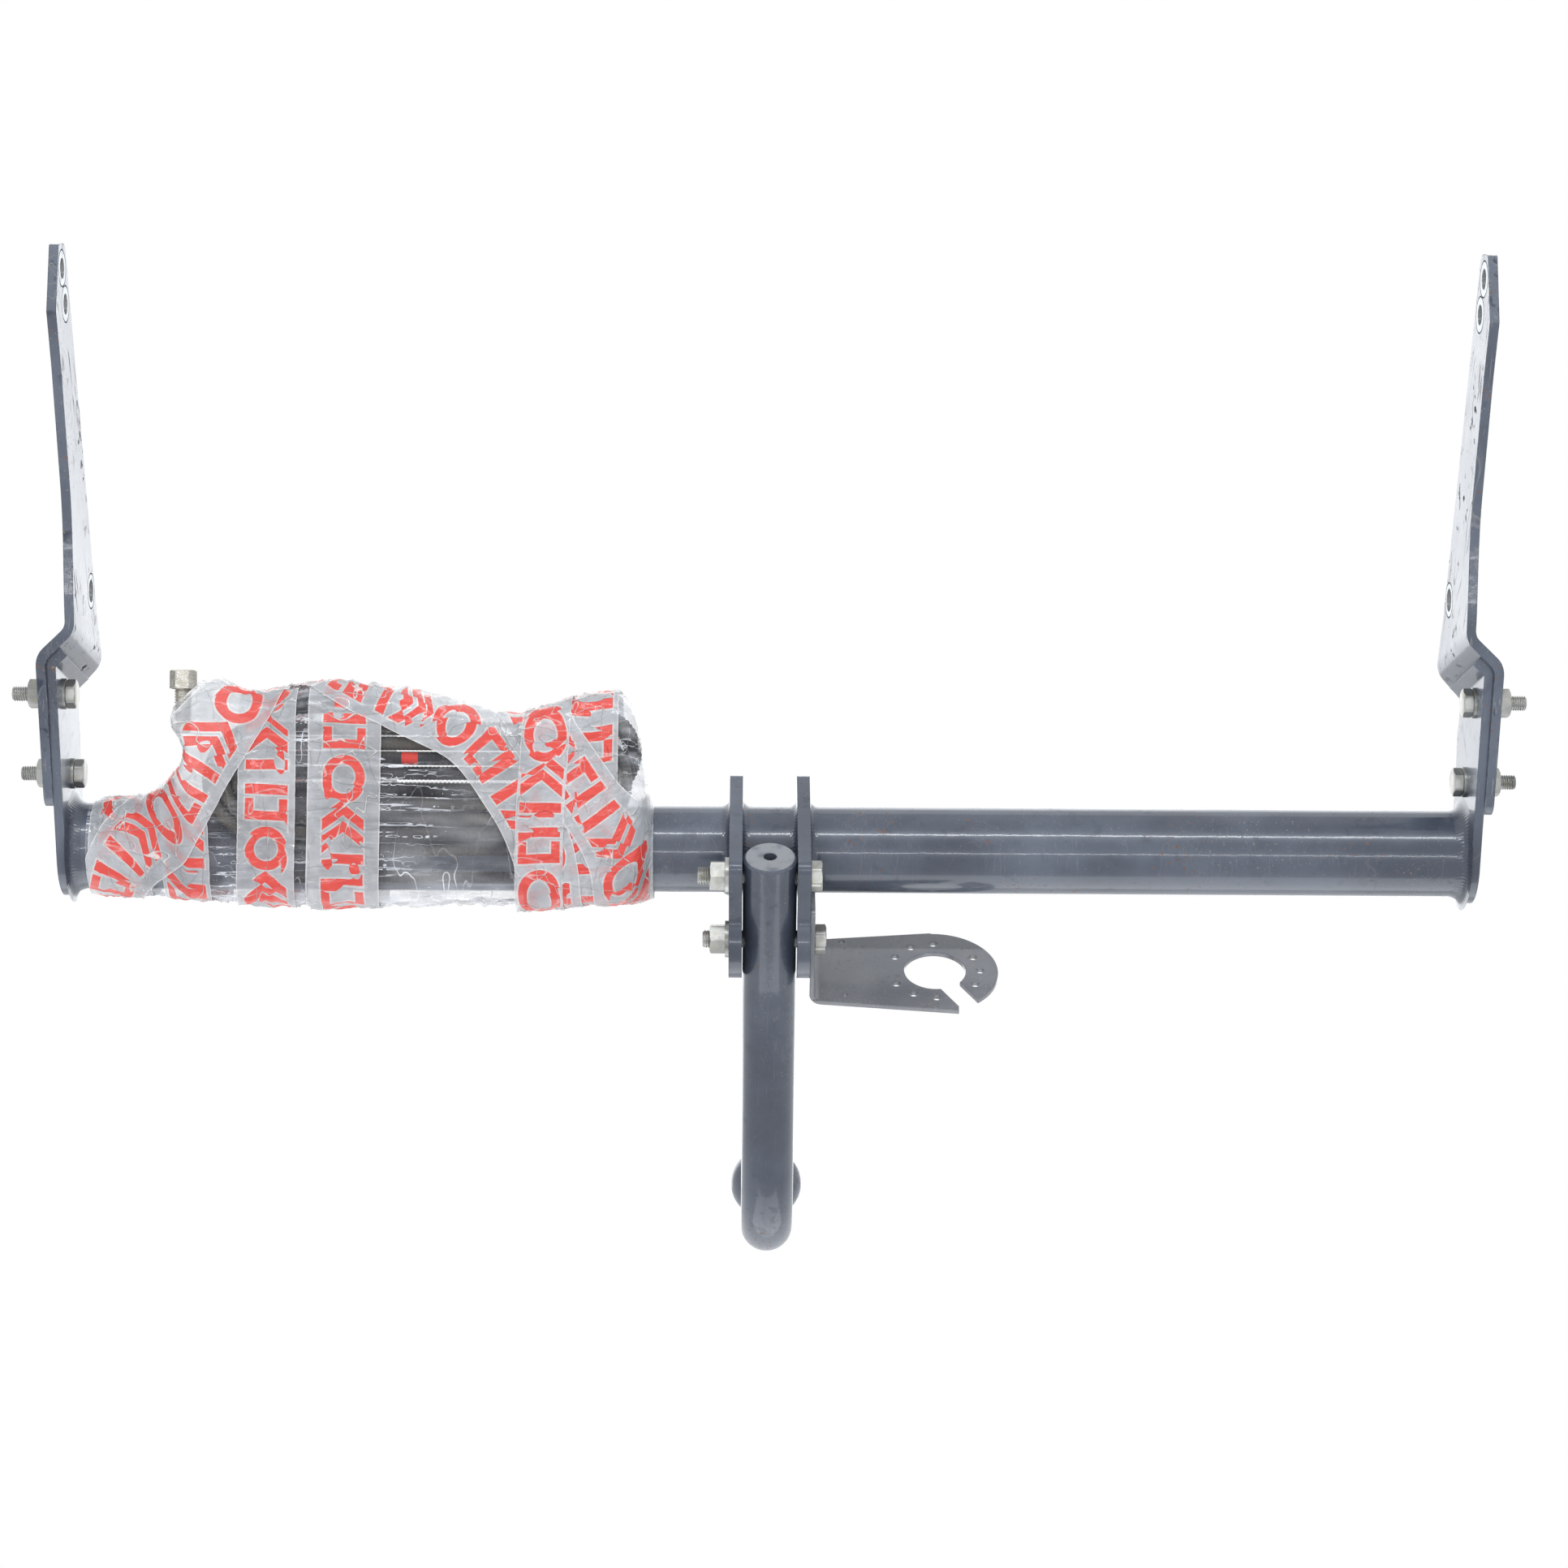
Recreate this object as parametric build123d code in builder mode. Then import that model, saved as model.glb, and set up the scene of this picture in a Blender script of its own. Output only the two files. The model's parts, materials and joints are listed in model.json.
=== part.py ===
from build123d import *
import os
from math import acos, asin, atan2, cos, degrees, dist, hypot, pi, radians, sin

# Towbar with a fixed swan neck.
# Millimetres. Origin at the centre of the coupling ball, +Y towards the front of the vehicle,
# +Z up, +X to the right of the vehicle.

# Cross tube
tube_d = 57.0
tube_wall = 4.0
tube_length = 914.0
tube_forward = 292.5
tube_drop = 11.5

# Ball and neck
ball_d = 50.0
ball_flat_height = 22.0
ball_neck_d = 29.0
ball_over_bend = 20.0
neck_d = 35.0
neck_under_tube = 11.0
neck_lead = 33.0
neck_straight = 95.0
neck_bend_radius = 72.0
neck_dip_radius = 70.0
neck_taper_angle = 15.0
neck_end_chamfer = 2.0
neck_centre_hole_d = 8.6
neck_centre_hole_depth = 14.0

# Clamp plates and the bolts through the neck
clamp_thickness = 8.5
clamp_neck_gap = 0.35
clamp_front_wall = 5.5
clamp_top_wall = 12.5
clamp_top_back = 35.0
clamp_rear_waist = 25.0
clamp_under_bolt = 13.0
clamp_bolt_radius = 25.3
clamp_corner_radius = 6.0
clamp_tube_gap = 0.15
clamp_weld_leg = 5.0
bolt_hole_play = 1.0
neck_bolt_d = 12.0
neck_bolt_across = 18.0
neck_bolt_head = 7.5
neck_bolt_length = 73.0
neck_bolt_front_setback = 15.0
neck_bolt_pitch = 50.0
neck_nut_height = 10.0
neck_washer_d = 24.0
neck_washer_thickness = 2.5

# End plates and chassis arms
plate_thickness = 6.0
end_plate_margin = 4.5
end_plate_flare = 4.0
end_plate_tail = 9.0
end_weld_leg = 9.0
weld_gap = 0.1
weld_toe = 1.0
weld_hollow = 1.3
arm_rise_angle = 16.0
bend_line_tilt = 26.6
bend_clearance = 0.7
bend_radius = 8.0
joggle_angle = 50.0
joggle_inward = 20.0
arm_reach = 399.0

# Chassis bolt holes in the arms: two set back from the tip and one along from the tube's axis,
# each with its place across the arm
tip_hole_d = 13.0
tip_hole_setback = 16.3
tip_hole_across = -16.5
middle_hole_d = 13.0
middle_hole_setback = 39.5
middle_hole_across = -11.6
rear_hole_d = 15.0
rear_hole = (166.0, 25.0)

# Bolts between arms and end plates
arm_bolt_d = 10.0
arm_bolt_across = 17.0
arm_bolt_head = 6.4
arm_bolt_length = 35.0
arm_nut_height = 8.4
arm_washer_d = 20.0
arm_washer_thickness = 2.0
arm_washer_clearance = 0.5
arm_bolt_pitch = 58.0
arm_bolt_rear_across = 4.0
arm_bolt_front_across = -10.0

# Socket bracket, with its hole circle's centre measured from the tube's axis
sheet = 3.0
bracket_gap = 0.1
bracket_bend = 4.4
bracket_behind_bolt = 39.4
socket_out = 110.0
socket_above_bolt = 20.4
socket_bore_d = 40.8
socket_pitch_d = 60.0
socket_hole_d = 5.5
socket_hole_angles = (0, 30, 90, 120, 150, 210, 240, 270, 330)
socket_rim_radius = 41.8
slot_width = 14.8
slot_angle = -60.0
dimple_d = 3.5
dimple_places = ((-60.8, 32.0), (-60.0, -27.4))
flat_low_corner = (14.0, -43.6)
flat_high_corner = (-2.0, 42.5)
flat_top = 34.0
leg_front = 2.0
leg_under_bolt = 13.0
leg_strip_height = 28.0
leg_rise_back = 42.0

# Wrapped fitting kit, in a frame that leans by kit_lean. At each station along the tube the film
# is taken from the bare tube (0) to the loom's hank (1), with its slack above and below
kit_lean = 33.0
film_wall = 1.0
film_slack = 1.5
film_cut = 8.0
film_stations = (
    (445.0, 0.0, 0.0, 0.0),
    (392.0, 0.4, 0.6, 1.5),
    (388.0, 1.0, 8.5, 3.0),
    (302.0, 1.0, 19.5, 5.0),
    (248.0, 1.0, 17.5, 6.0),
    (185.0, 1.0, 4.5, 5.0),
    (153.0, 1.0, 4.5, 5.0),
    (121.0, 1.0, 12.5, 4.0),
    (97.0, 1.0, 14.5, 3.0),
    (84.0, 1.0, -4.0, 2.0),
    (75.0, 0.0, 0.5, 0.5),
)
tape_gap = 0.3
tape_wall = 0.7
tape_bands = {
    "kit_tape_sleeve": (445.0, 393.0),
    "kit_tape_one": (343.0, 306.0),
    "kit_tape_two": (299.0, 251.0),
    "kit_tape_four": (161.0, 137.0),
    "kit_tape_five": (121.0, 99.0),
}
diagonal_top = 250.0
diagonal_bottom = 163.0
diagonal_width = 28.0

# Wiring loom in conduit, wound into a flat hank in front of the tube
loom_d = 9.0
loom_gap = 0.6
loom_turns = 3
loom_inner_bend = 10.1
loom_over_tube = 12.5
loom_left = 370.0
loom_right = 87.0
loom_clearance = 0.5
loom_sides = 6

# Spare screw standing out of the film
spare_along = 385.0
spare_front = 10.0
spare_head_over_hank = 27.0
spare_length = 35.0
spare_gap = 0.3

tube_r = tube_d / 2
tube_half = tube_length / 2
clamp_inner = neck_d / 2 + clamp_neck_gap
clamp_outer = clamp_inner + clamp_thickness
neck_drop = tube_r + neck_under_tube + neck_d / 2
neck_bolt_hole_d = neck_bolt_d + bolt_hole_play
neck_bolt_front = neck_lead - neck_bolt_front_setback
neck_bolt_rear = neck_bolt_front - neck_bolt_pitch
weld_inner_r = tube_r + weld_gap
arm_inner = tube_half + plate_thickness
arm_outer = arm_inner + plate_thickness
arm_bolt_hole_d = arm_bolt_d + bolt_hole_play
arm_bolt_rear_along = weld_inner_r + end_weld_leg + arm_washer_d / 2 + arm_washer_clearance
arm_bolt_places = (
    (arm_bolt_rear_along, arm_bolt_rear_across),
    (arm_bolt_rear_along + arm_bolt_pitch, arm_bolt_front_across),
)
end_plate_radius = tube_r + end_plate_margin
clamp_front = tube_r + clamp_front_wall
clamp_top = tube_r + clamp_top_wall
clamp_bottom = neck_drop + clamp_under_bolt
bracket_setback = bracket_behind_bolt - neck_bolt_rear
socket_drop = neck_drop - socket_above_bolt
leg_bottom = neck_drop + leg_under_bolt

os.makedirs("parts", exist_ok=True)


def save(piece, name):
    """Label a finished piece and write it to its own file."""
    piece.label = name
    export_step(piece, f"parts/{name}.step")


def side_plane(x):
    """Plane across the tube at x, with its axes forward and up from the tube's axis."""
    return Plane(origin=(x, tube_forward, -tube_drop), x_dir=(0, 1, 0), z_dir=(1, 0, 0))


def arm_plane(x):
    """Plane across the tube at x, with its axes along and across the rising arm."""
    rise = radians(arm_rise_angle)
    return Plane(origin=(x, tube_forward, -tube_drop), x_dir=(0, cos(rise), sin(rise)), z_dir=(1, 0, 0))


def kit_plane(x):
    """Plane across the tube at x, with its axes up and towards the front of the wrapped kit."""
    lean = radians(kit_lean)
    return Plane(origin=(x, tube_forward, -tube_drop), x_dir=(0, cos(lean), sin(lean)), z_dir=(-1, 0, 0))


def mirrored(piece):
    """The same piece on the vehicle's left."""
    with BuildPart() as copy:
        mirror(piece, about=Plane.YZ)
    return copy.part


def hex_head(plane, across, height):
    """A hexagon with its outer corners turned off, standing on the plane."""
    turned_r = 0.95 * across / 2
    with BuildPart() as head:
        with BuildSketch(plane):
            RegularPolygon(across / 2, 6, major_radius=False)
        extrude(amount=height)
        with Locations(plane.location):
            Cone(turned_r + 2 * height, turned_r, height,
                 align=(Align.CENTER, Align.CENTER, Align.MIN), mode=Mode.INTERSECT)
    return head.part


def hex_bolt(plane, across, head, diameter, length):
    """A hexagon bolt whose head stands on the plane and whose shank goes back through it."""
    with BuildPart() as bolt:
        add(hex_head(plane, across, head))
        with BuildSketch(plane):
            Circle(diameter / 2)
        extrude(amount=-length)
        tip = bolt.faces().sort_by_distance(plane.from_local_coords((0, 0, -length)))[0]
        chamfer(tip.edges(), diameter / 10)
    return bolt.part


def hex_nut(plane, across, height, bore):
    """A hexagon nut standing on the plane."""
    with BuildPart() as nut:
        add(hex_head(plane, across, height))
        with BuildSketch(plane):
            Circle(bore / 2)
        extrude(amount=height, mode=Mode.SUBTRACT)
    return nut.part


def washer(plane, diameter, bore, thickness):
    """A plain washer lying on the plane."""
    with BuildPart() as ring:
        with BuildSketch(plane):
            Circle(diameter / 2)
            Circle(bore / 2, mode=Mode.SUBTRACT)
        extrude(amount=thickness)
    return ring.part


def weld_ring(face_x, direction, leg):
    """A hollow fillet weld round the tube, from a plate's face outwards along the tube."""
    section_plane = Plane(origin=(0, tube_forward, -tube_drop), x_dir=(1, 0, 0), z_dir=(0, -1, 0))
    toe_x = face_x + direction * leg
    with BuildPart() as ring:
        with BuildSketch(section_plane):
            middle_x = face_x + direction * (leg / 2 - weld_hollow)
            middle_r = weld_inner_r + (leg + weld_toe) / 2 - weld_hollow
            with BuildLine():
                Polyline(
                    (face_x, weld_inner_r), (face_x, weld_inner_r + leg), (middle_x, middle_r),
                    (toe_x, weld_inner_r + weld_toe), (toe_x, weld_inner_r), close=True,
                )
            make_face()
        revolve(axis=Axis((0, tube_forward, -tube_drop), (1, 0, 0)))
    return ring.part


def group(*pieces):
    """Separate pieces that share one node."""
    with BuildPart() as together:
        add(pieces)
    return together.part


# Cross tube
with BuildPart() as cross_tube:
    with BuildSketch(side_plane(0)):
        Circle(tube_r)
        Circle(tube_r - tube_wall, mode=Mode.SUBTRACT)
    extrude(amount=tube_half, both=True)
save(cross_tube.part, "cross_tube")


# Joggled plates at the sides: a face runs flat, bends in, ramps, bends back and runs flat again
front_bolt = Vector(*arm_bolt_places[1])
bend_line_angle = radians(bend_line_tilt)
front_bolt_reach = front_bolt.X * cos(bend_line_angle) + front_bolt.Y * sin(bend_line_angle)
bend_start = front_bolt_reach + arm_washer_d / 2 + bend_clearance
ramp_length = (joggle_inward - (2 * bend_radius + plate_thickness) * (1 - cos(radians(joggle_angle))))
ramp_length = ramp_length / sin(radians(joggle_angle))
fold_angle = radians(arm_rise_angle + bend_line_tilt)
fold_plane = Plane(
    origin=(0, tube_forward, -tube_drop),
    x_dir=(0, cos(fold_angle), sin(fold_angle)),
    z_dir=(0, sin(fold_angle), -cos(fold_angle)),
)
plate_reach = 1.5 * arm_reach


def arm_face(flat_x, first_radius, second_radius):
    """One face of the arm seen along its bend lines. Returns its two ends."""
    low = Line((-plate_reach / 4, flat_x), (bend_start, flat_x))
    first = JernArc(low @ 1, low % 1, first_radius, -joggle_angle)
    ramp = PolarLine(first @ 1, ramp_length, direction=first % 1)
    second = JernArc(ramp @ 1, ramp % 1, second_radius, joggle_angle)
    high = Line(second @ 1, (plate_reach, (second @ 1).Y))
    return low @ 0, high @ 1


def end_plate_face(flat_x, radius):
    """One face of the end plate seen along its bend line. Returns its two ends."""
    low = Line((-plate_reach / 4, flat_x), (bend_start, flat_x))
    bend = JernArc(low @ 1, low % 1, radius, -joggle_angle)
    tail = PolarLine(bend @ 1, end_plate_tail, direction=bend % 1)
    return low @ 0, tail @ 1


with BuildPart() as end_plate_right:
    with BuildSketch(fold_plane):
        with BuildLine():
            inner_ends = end_plate_face(tube_half, bend_radius - plate_thickness)
            outer_ends = end_plate_face(arm_inner, bend_radius)
            Line(inner_ends[0], outer_ends[0])
            Line(inner_ends[1], outer_ends[1])
        make_face()
    extrude(amount=plate_reach / 3, both=True)
    with BuildSketch(arm_plane(0)):
        with BuildLine():
            upper = Line((plate_reach / 3, end_plate_radius + end_plate_flare), (0, end_plate_radius))
            ThreePointArc(upper @ 1, (-end_plate_radius, 0), (0, -end_plate_radius))
            Polyline((0, -end_plate_radius), (plate_reach / 3, -end_plate_radius), upper @ 0)
        make_face()
        with Locations(*arm_bolt_places):
            Circle(arm_bolt_hole_d / 2, mode=Mode.SUBTRACT)
    extrude(amount=tube_length, mode=Mode.INTERSECT)
save(end_plate_right.part, "end_plate_right")
save(mirrored(end_plate_right.part), "end_plate_left")

with BuildPart() as chassis_arm_right:
    with BuildSketch(fold_plane):
        with BuildLine():
            inner_ends = arm_face(arm_inner, bend_radius, bend_radius + plate_thickness)
            outer_ends = arm_face(arm_outer, bend_radius + plate_thickness, bend_radius)
            Line(inner_ends[0], outer_ends[0])
            Line(inner_ends[1], outer_ends[1])
        make_face()
    extrude(amount=plate_reach / 3, both=True)
    with BuildSketch(arm_plane(0)):
        with BuildLine():
            FilletPolyline(
                (34, -34), (164, -37), (228, -25.5), (arm_reach - 75, -36), (arm_reach - 27, -45),
                (arm_reach, -27),
                (arm_reach - 2, -3.5), (148, 40), (62.6, 66), (37, 62),
                radius=(12, 150, 150, 150, 16, 12, 10, 90, 14, 8), close=True,
            )
        make_face()
        with Locations(*arm_bolt_places):
            Circle(arm_bolt_hole_d / 2, mode=Mode.SUBTRACT)
        with Locations((arm_reach - tip_hole_setback, tip_hole_across)):
            Circle(tip_hole_d / 2, mode=Mode.SUBTRACT)
        with Locations((arm_reach - middle_hole_setback, middle_hole_across)):
            Circle(middle_hole_d / 2, mode=Mode.SUBTRACT)
        with Locations(rear_hole):
            Circle(rear_hole_d / 2, mode=Mode.SUBTRACT)
    extrude(amount=tube_length, mode=Mode.INTERSECT)
save(chassis_arm_right.part, "chassis_arm_right")
save(mirrored(chassis_arm_right.part), "chassis_arm_left")

end_weld = weld_ring(tube_half, -1, end_weld_leg)
save(end_weld, "end_weld_right")
save(mirrored(end_weld), "end_weld_left")

# Bolts, washers and nuts between arms and end plates, heads inboard
bolts, inner_washers, outer_washers, nuts = [], [], [], []
for place in arm_bolt_places:
    inside = arm_plane(tube_half)
    inside = Plane(origin=inside.from_local_coords(place), x_dir=inside.x_dir, z_dir=(-1, 0, 0))
    outside = inside.offset(-2 * plate_thickness)
    outside = Plane(origin=outside.origin, x_dir=inside.x_dir, z_dir=(1, 0, 0))
    inner_washers.append(washer(inside, arm_washer_d, arm_bolt_hole_d, arm_washer_thickness))
    bolts.append(hex_bolt(inside.offset(arm_washer_thickness), arm_bolt_across, arm_bolt_head,
                          arm_bolt_d, arm_bolt_length))
    outer_washers.append(washer(outside, arm_washer_d, arm_bolt_hole_d, arm_washer_thickness))
    nuts.append(hex_nut(outside.offset(arm_washer_thickness), arm_bolt_across, arm_nut_height, arm_bolt_d))
for name, pieces in (
    ("arm_bolts", bolts),
    ("arm_washers_inner", inner_washers),
    ("arm_washers_outer", outer_washers),
    ("arm_nuts", nuts),
):
    right_side = group(*pieces)
    save(right_side, f"{name}_right")
    save(mirrored(right_side), f"{name}_left")

# Clamp plates, welded to the tube on both sides of the neck
with BuildPart() as clamp_plate_right:
    with BuildSketch(side_plane(clamp_inner)) as clamp_outline:
        rear = neck_bolt_rear - clamp_bolt_radius
        Polygon(
            (clamp_front, -clamp_bottom), (clamp_front, clamp_top), (-clamp_top_back, clamp_top),
            (rear, -clamp_rear_waist), (rear, -neck_drop), (neck_bolt_rear, -neck_drop),
            (neck_bolt_rear, -clamp_bottom), align=None,
        )
        with Locations((neck_bolt_rear, -neck_drop)):
            Circle(clamp_bolt_radius)
        meeting = neck_bolt_rear + clamp_bolt_radius * sin(acos((clamp_bottom - neck_drop) / clamp_bolt_radius))
        corners = clamp_outline.vertices()
        bottom_corner = corners.sort_by_distance((clamp_front, -clamp_bottom))[0]
        notch_corner = corners.sort_by_distance((meeting, -clamp_bottom))[0]
        top_corners = corners.group_by(Axis.Y)[-1]
        waist_corner = corners.sort_by_distance((rear, -clamp_rear_waist))[0]
        fillet([bottom_corner, notch_corner, *top_corners], clamp_corner_radius)
        fillet(waist_corner, clamp_bolt_radius)
        Circle(tube_r + clamp_tube_gap, mode=Mode.SUBTRACT)
        with Locations((neck_bolt_front, -neck_drop), (neck_bolt_rear, -neck_drop)):
            Circle(neck_bolt_hole_d / 2, mode=Mode.SUBTRACT)
    extrude(amount=clamp_thickness)
save(clamp_plate_right.part, "clamp_plate_right")
save(mirrored(clamp_plate_right.part), "clamp_plate_left")

clamp_weld_inner = weld_ring(clamp_inner, -1, clamp_weld_leg)
clamp_weld_outer = weld_ring(clamp_outer, 1, clamp_weld_leg)
clamp_welds = group(clamp_weld_inner, clamp_weld_outer, mirrored(clamp_weld_inner), mirrored(clamp_weld_outer))
save(clamp_welds, "clamp_welds")

# Swan neck: a straight lead between the clamp plates, a slight dip, and the bend up to the ball.
# The dip's angle comes from the common tangent of the dip's circle and the bend's circle.
neck_z = -tube_drop - neck_drop
dip_centre = Vector(tube_forward + neck_lead - neck_straight, neck_z - neck_dip_radius)
bend_centre = Vector(neck_bend_radius, -ball_over_bend)
between = bend_centre - dip_centre
apart = hypot(between.X, between.Y)
radii = neck_bend_radius + neck_dip_radius
dip_angle = degrees(atan2(between.Y, between.X) - pi + asin(radii / apart))
slope_length = (apart**2 - radii**2) ** 0.5

tangent_way = Vector(cos(radians(90 + dip_angle)), sin(radians(90 + dip_angle)))
slope_start = dip_centre + tangent_way * neck_dip_radius
slope_end = bend_centre - tangent_way * neck_bend_radius
taper_turn = radians(180 + neck_taper_angle)
taper_start = bend_centre + Vector(cos(taper_turn), sin(taper_turn)) * neck_bend_radius
front_plane = Plane(origin=(0, tube_forward + neck_lead, neck_z), x_dir=(1, 0, 0), z_dir=(0, -1, 0))
taper_plane = Plane(
    origin=(0, taper_start.X, taper_start.Y),
    x_dir=(1, 0, 0),
    z_dir=(0, sin(taper_turn), -cos(taper_turn)),
)

with BuildPart() as swan_neck:
    with BuildLine(Plane.YZ) as neck_path:
        Line((tube_forward + neck_lead, neck_z), (dip_centre.X, neck_z))
        CenterArc((dip_centre.X, dip_centre.Y), neck_dip_radius, 90, dip_angle)
        Line((slope_start.X, slope_start.Y), (slope_end.X, slope_end.Y))
        CenterArc((bend_centre.X, bend_centre.Y), neck_bend_radius, 270 + dip_angle,
                  neck_taper_angle - 90 - dip_angle)
    with BuildSketch(front_plane):
        Circle(neck_d / 2)
    sweep(path=neck_path.wire())
    with BuildSketch(taper_plane):
        Circle(neck_d / 2)
    with BuildSketch(Plane(origin=(0, 0, -ball_over_bend), x_dir=(1, 0, 0), z_dir=(0, 0, 1))):
        Circle(ball_neck_d / 2)
    loft()
    with BuildSketch(Plane.XY.offset(-ball_over_bend)):
        Circle(ball_neck_d / 2)
    extrude(amount=ball_over_bend)
    Sphere(ball_d / 2)
    with BuildSketch(Plane.XY.offset(ball_flat_height)):
        Circle(ball_d)
    extrude(amount=ball_d, mode=Mode.SUBTRACT)
    front_face = swan_neck.faces().sort_by(Axis.Y)[-1]
    chamfer(front_face.edges(), neck_end_chamfer)
    with BuildSketch(front_plane):
        Circle(neck_centre_hole_d / 2)
    extrude(amount=neck_centre_hole_depth, mode=Mode.SUBTRACT)
    with BuildSketch(side_plane(0)):
        with Locations((neck_bolt_front, -neck_drop), (neck_bolt_rear, -neck_drop)):
            Circle(neck_bolt_hole_d / 2)
    extrude(amount=neck_d, both=True, mode=Mode.SUBTRACT)
save(swan_neck.part, "swan_neck")
print("neck dips by", round(dip_angle, 2), "degrees over", round(slope_length, 1), "mm")

# Bolts through the clamp plates and the neck, heads on the left, and their nuts and washers
bracket_near = clamp_outer + bracket_gap
bracket_far = bracket_near + sheet
washers = []
for name, forward, under_head in (
    ("front", neck_bolt_front, clamp_outer),
    ("rear", neck_bolt_rear, bracket_far + bracket_gap),
):
    centre = (tube_forward + forward, -tube_drop - neck_drop)
    head_plane = Plane(origin=(-under_head, *centre), x_dir=(0, 1, 0), z_dir=(-1, 0, 0))
    nut_plane = Plane(origin=(clamp_outer, *centre), x_dir=(0, 1, 0), z_dir=(1, 0, 0))
    bolt = hex_bolt(head_plane, neck_bolt_across, neck_bolt_head, neck_bolt_d, neck_bolt_length)
    nut = hex_nut(nut_plane.offset(neck_washer_thickness), neck_bolt_across, neck_nut_height, neck_bolt_d)
    washers.append(washer(nut_plane, neck_washer_d, neck_bolt_hole_d, neck_washer_thickness))
    save(bolt, f"neck_bolt_{name}")
    save(nut, f"neck_nut_{name}")
save(group(*washers), "neck_washers")

# Socket bracket: a bent sheet whose leg lies on the left clamp plate and whose flat carries the
# socket's hole pattern. The pattern's plane has x to the vehicle's left and z up.
bore_plane = Plane(
    origin=(-socket_out, tube_forward - bracket_setback, -tube_drop - socket_drop),
    x_dir=(-1, 0, 0),
    z_dir=(0, 1, 0),
)
leg_x = bracket_near - socket_out
slot_way = radians(slot_angle)
slot_middle = Vector(cos(slot_way), sin(slot_way)) * (socket_rim_radius + socket_bore_d / 2) / 2
flat_bottom = socket_drop - leg_bottom
with BuildPart() as socket_bracket:
    with BuildSketch(bore_plane):
        Circle(socket_rim_radius)
        Polygon((leg_x, flat_bottom), flat_low_corner, (flat_low_corner[0], 0), (0, socket_rim_radius),
                flat_high_corner, (leg_x, flat_top), align=None)
        Circle(socket_bore_d / 2, mode=Mode.SUBTRACT)
        with Locations(Location((slot_middle.X, slot_middle.Y), slot_angle)):
            Rectangle(socket_rim_radius, slot_width, mode=Mode.SUBTRACT)
        for angle in socket_hole_angles:
            with PolarLocations(socket_pitch_d / 2, 1, start_angle=angle):
                Circle(socket_hole_d / 2, mode=Mode.SUBTRACT)
        with Locations(*dimple_places):
            Circle(dimple_d / 2, mode=Mode.SUBTRACT)
    extrude(amount=-2 * bracket_bend)
    leg_rear = bracket_setback - bracket_bend
    with BuildSketch(side_plane(-bracket_near)):
        with BuildLine():
            FilletPolyline(
                (-leg_front, -leg_bottom), (-leg_front, leg_strip_height - leg_bottom),
                (-leg_rise_back, leg_strip_height - leg_bottom),
                (-leg_rear, flat_top - socket_drop),
                (-bracket_setback - sheet, flat_top - socket_drop),
                (-bracket_setback - sheet, -leg_bottom),
                radius=(6, 6, 12, 6, 0, 0), close=True,
            )
        make_face()
        with Locations((neck_bolt_rear, -neck_drop)):
            Circle(neck_bolt_hole_d / 2, mode=Mode.SUBTRACT)
    extrude(amount=-2 * bracket_bend)
    with BuildSketch(Plane.XY.offset(-tube_drop - 2 * clamp_bottom)):
        leg_outer = -bracket_near
        leg_inner = -bracket_far
        flat_front = tube_forward - bracket_setback
        flat_back = flat_front - sheet
        with BuildLine():
            outer_run = Line((leg_outer, tube_forward), (leg_outer, flat_back + bracket_bend + sheet))
            outer_turn = JernArc(outer_run @ 1, (0, -1), bracket_bend + sheet, -90)
            Line(outer_turn @ 1, (-2 * socket_out, flat_back))
            Line((-2 * socket_out, flat_back), (-2 * socket_out, flat_front))
            inner_back = Line((-2 * socket_out, flat_front), (leg_inner - bracket_bend, flat_front))
            inner_turn = JernArc(inner_back @ 1, (1, 0), bracket_bend, 90)
            Line(inner_turn @ 1, (leg_inner, tube_forward))
            Line((leg_inner, tube_forward), (leg_outer, tube_forward))
        make_face()
    extrude(amount=4 * clamp_bottom, mode=Mode.INTERSECT)
save(socket_bracket.part, "socket_bracket")


# Wrapped fitting kit: film, tape bands over it, the loom's hank and a spare screw in it.
# The hank's runs alternate from side to side, each half turn half a pitch further in.
loom_pitch = loom_d + loom_gap
last_run = 2 * loom_turns
loom_half_width = loom_inner_bend + (2 * last_run - 1) * loom_pitch / 4
loom_centre_above = tube_r + loom_over_tube
loom_low = tube_r + loom_clearance + loom_d / 2
hank_top = loom_centre_above + loom_half_width + loom_d / 2
hank_front = loom_low + loom_pitch + loom_d / 2
octagon_share = 2 - 2**0.5


def station_at(x):
    """The film's station at any place between two of the given ones, as its ruled skin has it."""
    for before, after in zip(film_stations, film_stations[1:]):
        if before[0] >= x >= after[0]:
            share = (before[0] - x) / (before[0] - after[0])
            return (x, *(a + (b - a) * share for a, b in zip(before[1:], after[1:])))
    raise ValueError(f"no film at {x}")


def stations_between(left, right):
    """The film's stations from left to right, ends included."""
    inside = [station for station in film_stations if left > station[0] > right]
    return [station_at(left), *inside, station_at(right)]


def filled_wrap(stations, grow):
    """A ruled loft through sections with cut corners, grown outwards from the film's outside."""
    bare = tube_r + film_slack
    with BuildPart() as filled:
        for x, share, over, under in stations:
            top = bare + share * (hank_top - tube_r) + over
            front = bare + share * (hank_front - tube_r)
            cut = octagon_share * bare + share * (film_cut - octagon_share * bare)
            with BuildSketch(kit_plane(x)) as section:
                with Locations(((top - bare - under) / 2, (front - bare) / 2)):
                    Rectangle(top + bare + under + 2 * grow, front + bare + 2 * grow)
                chamfer(section.vertices(), cut + octagon_share * grow)
        loft(ruled=True)
    return filled.part


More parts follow.
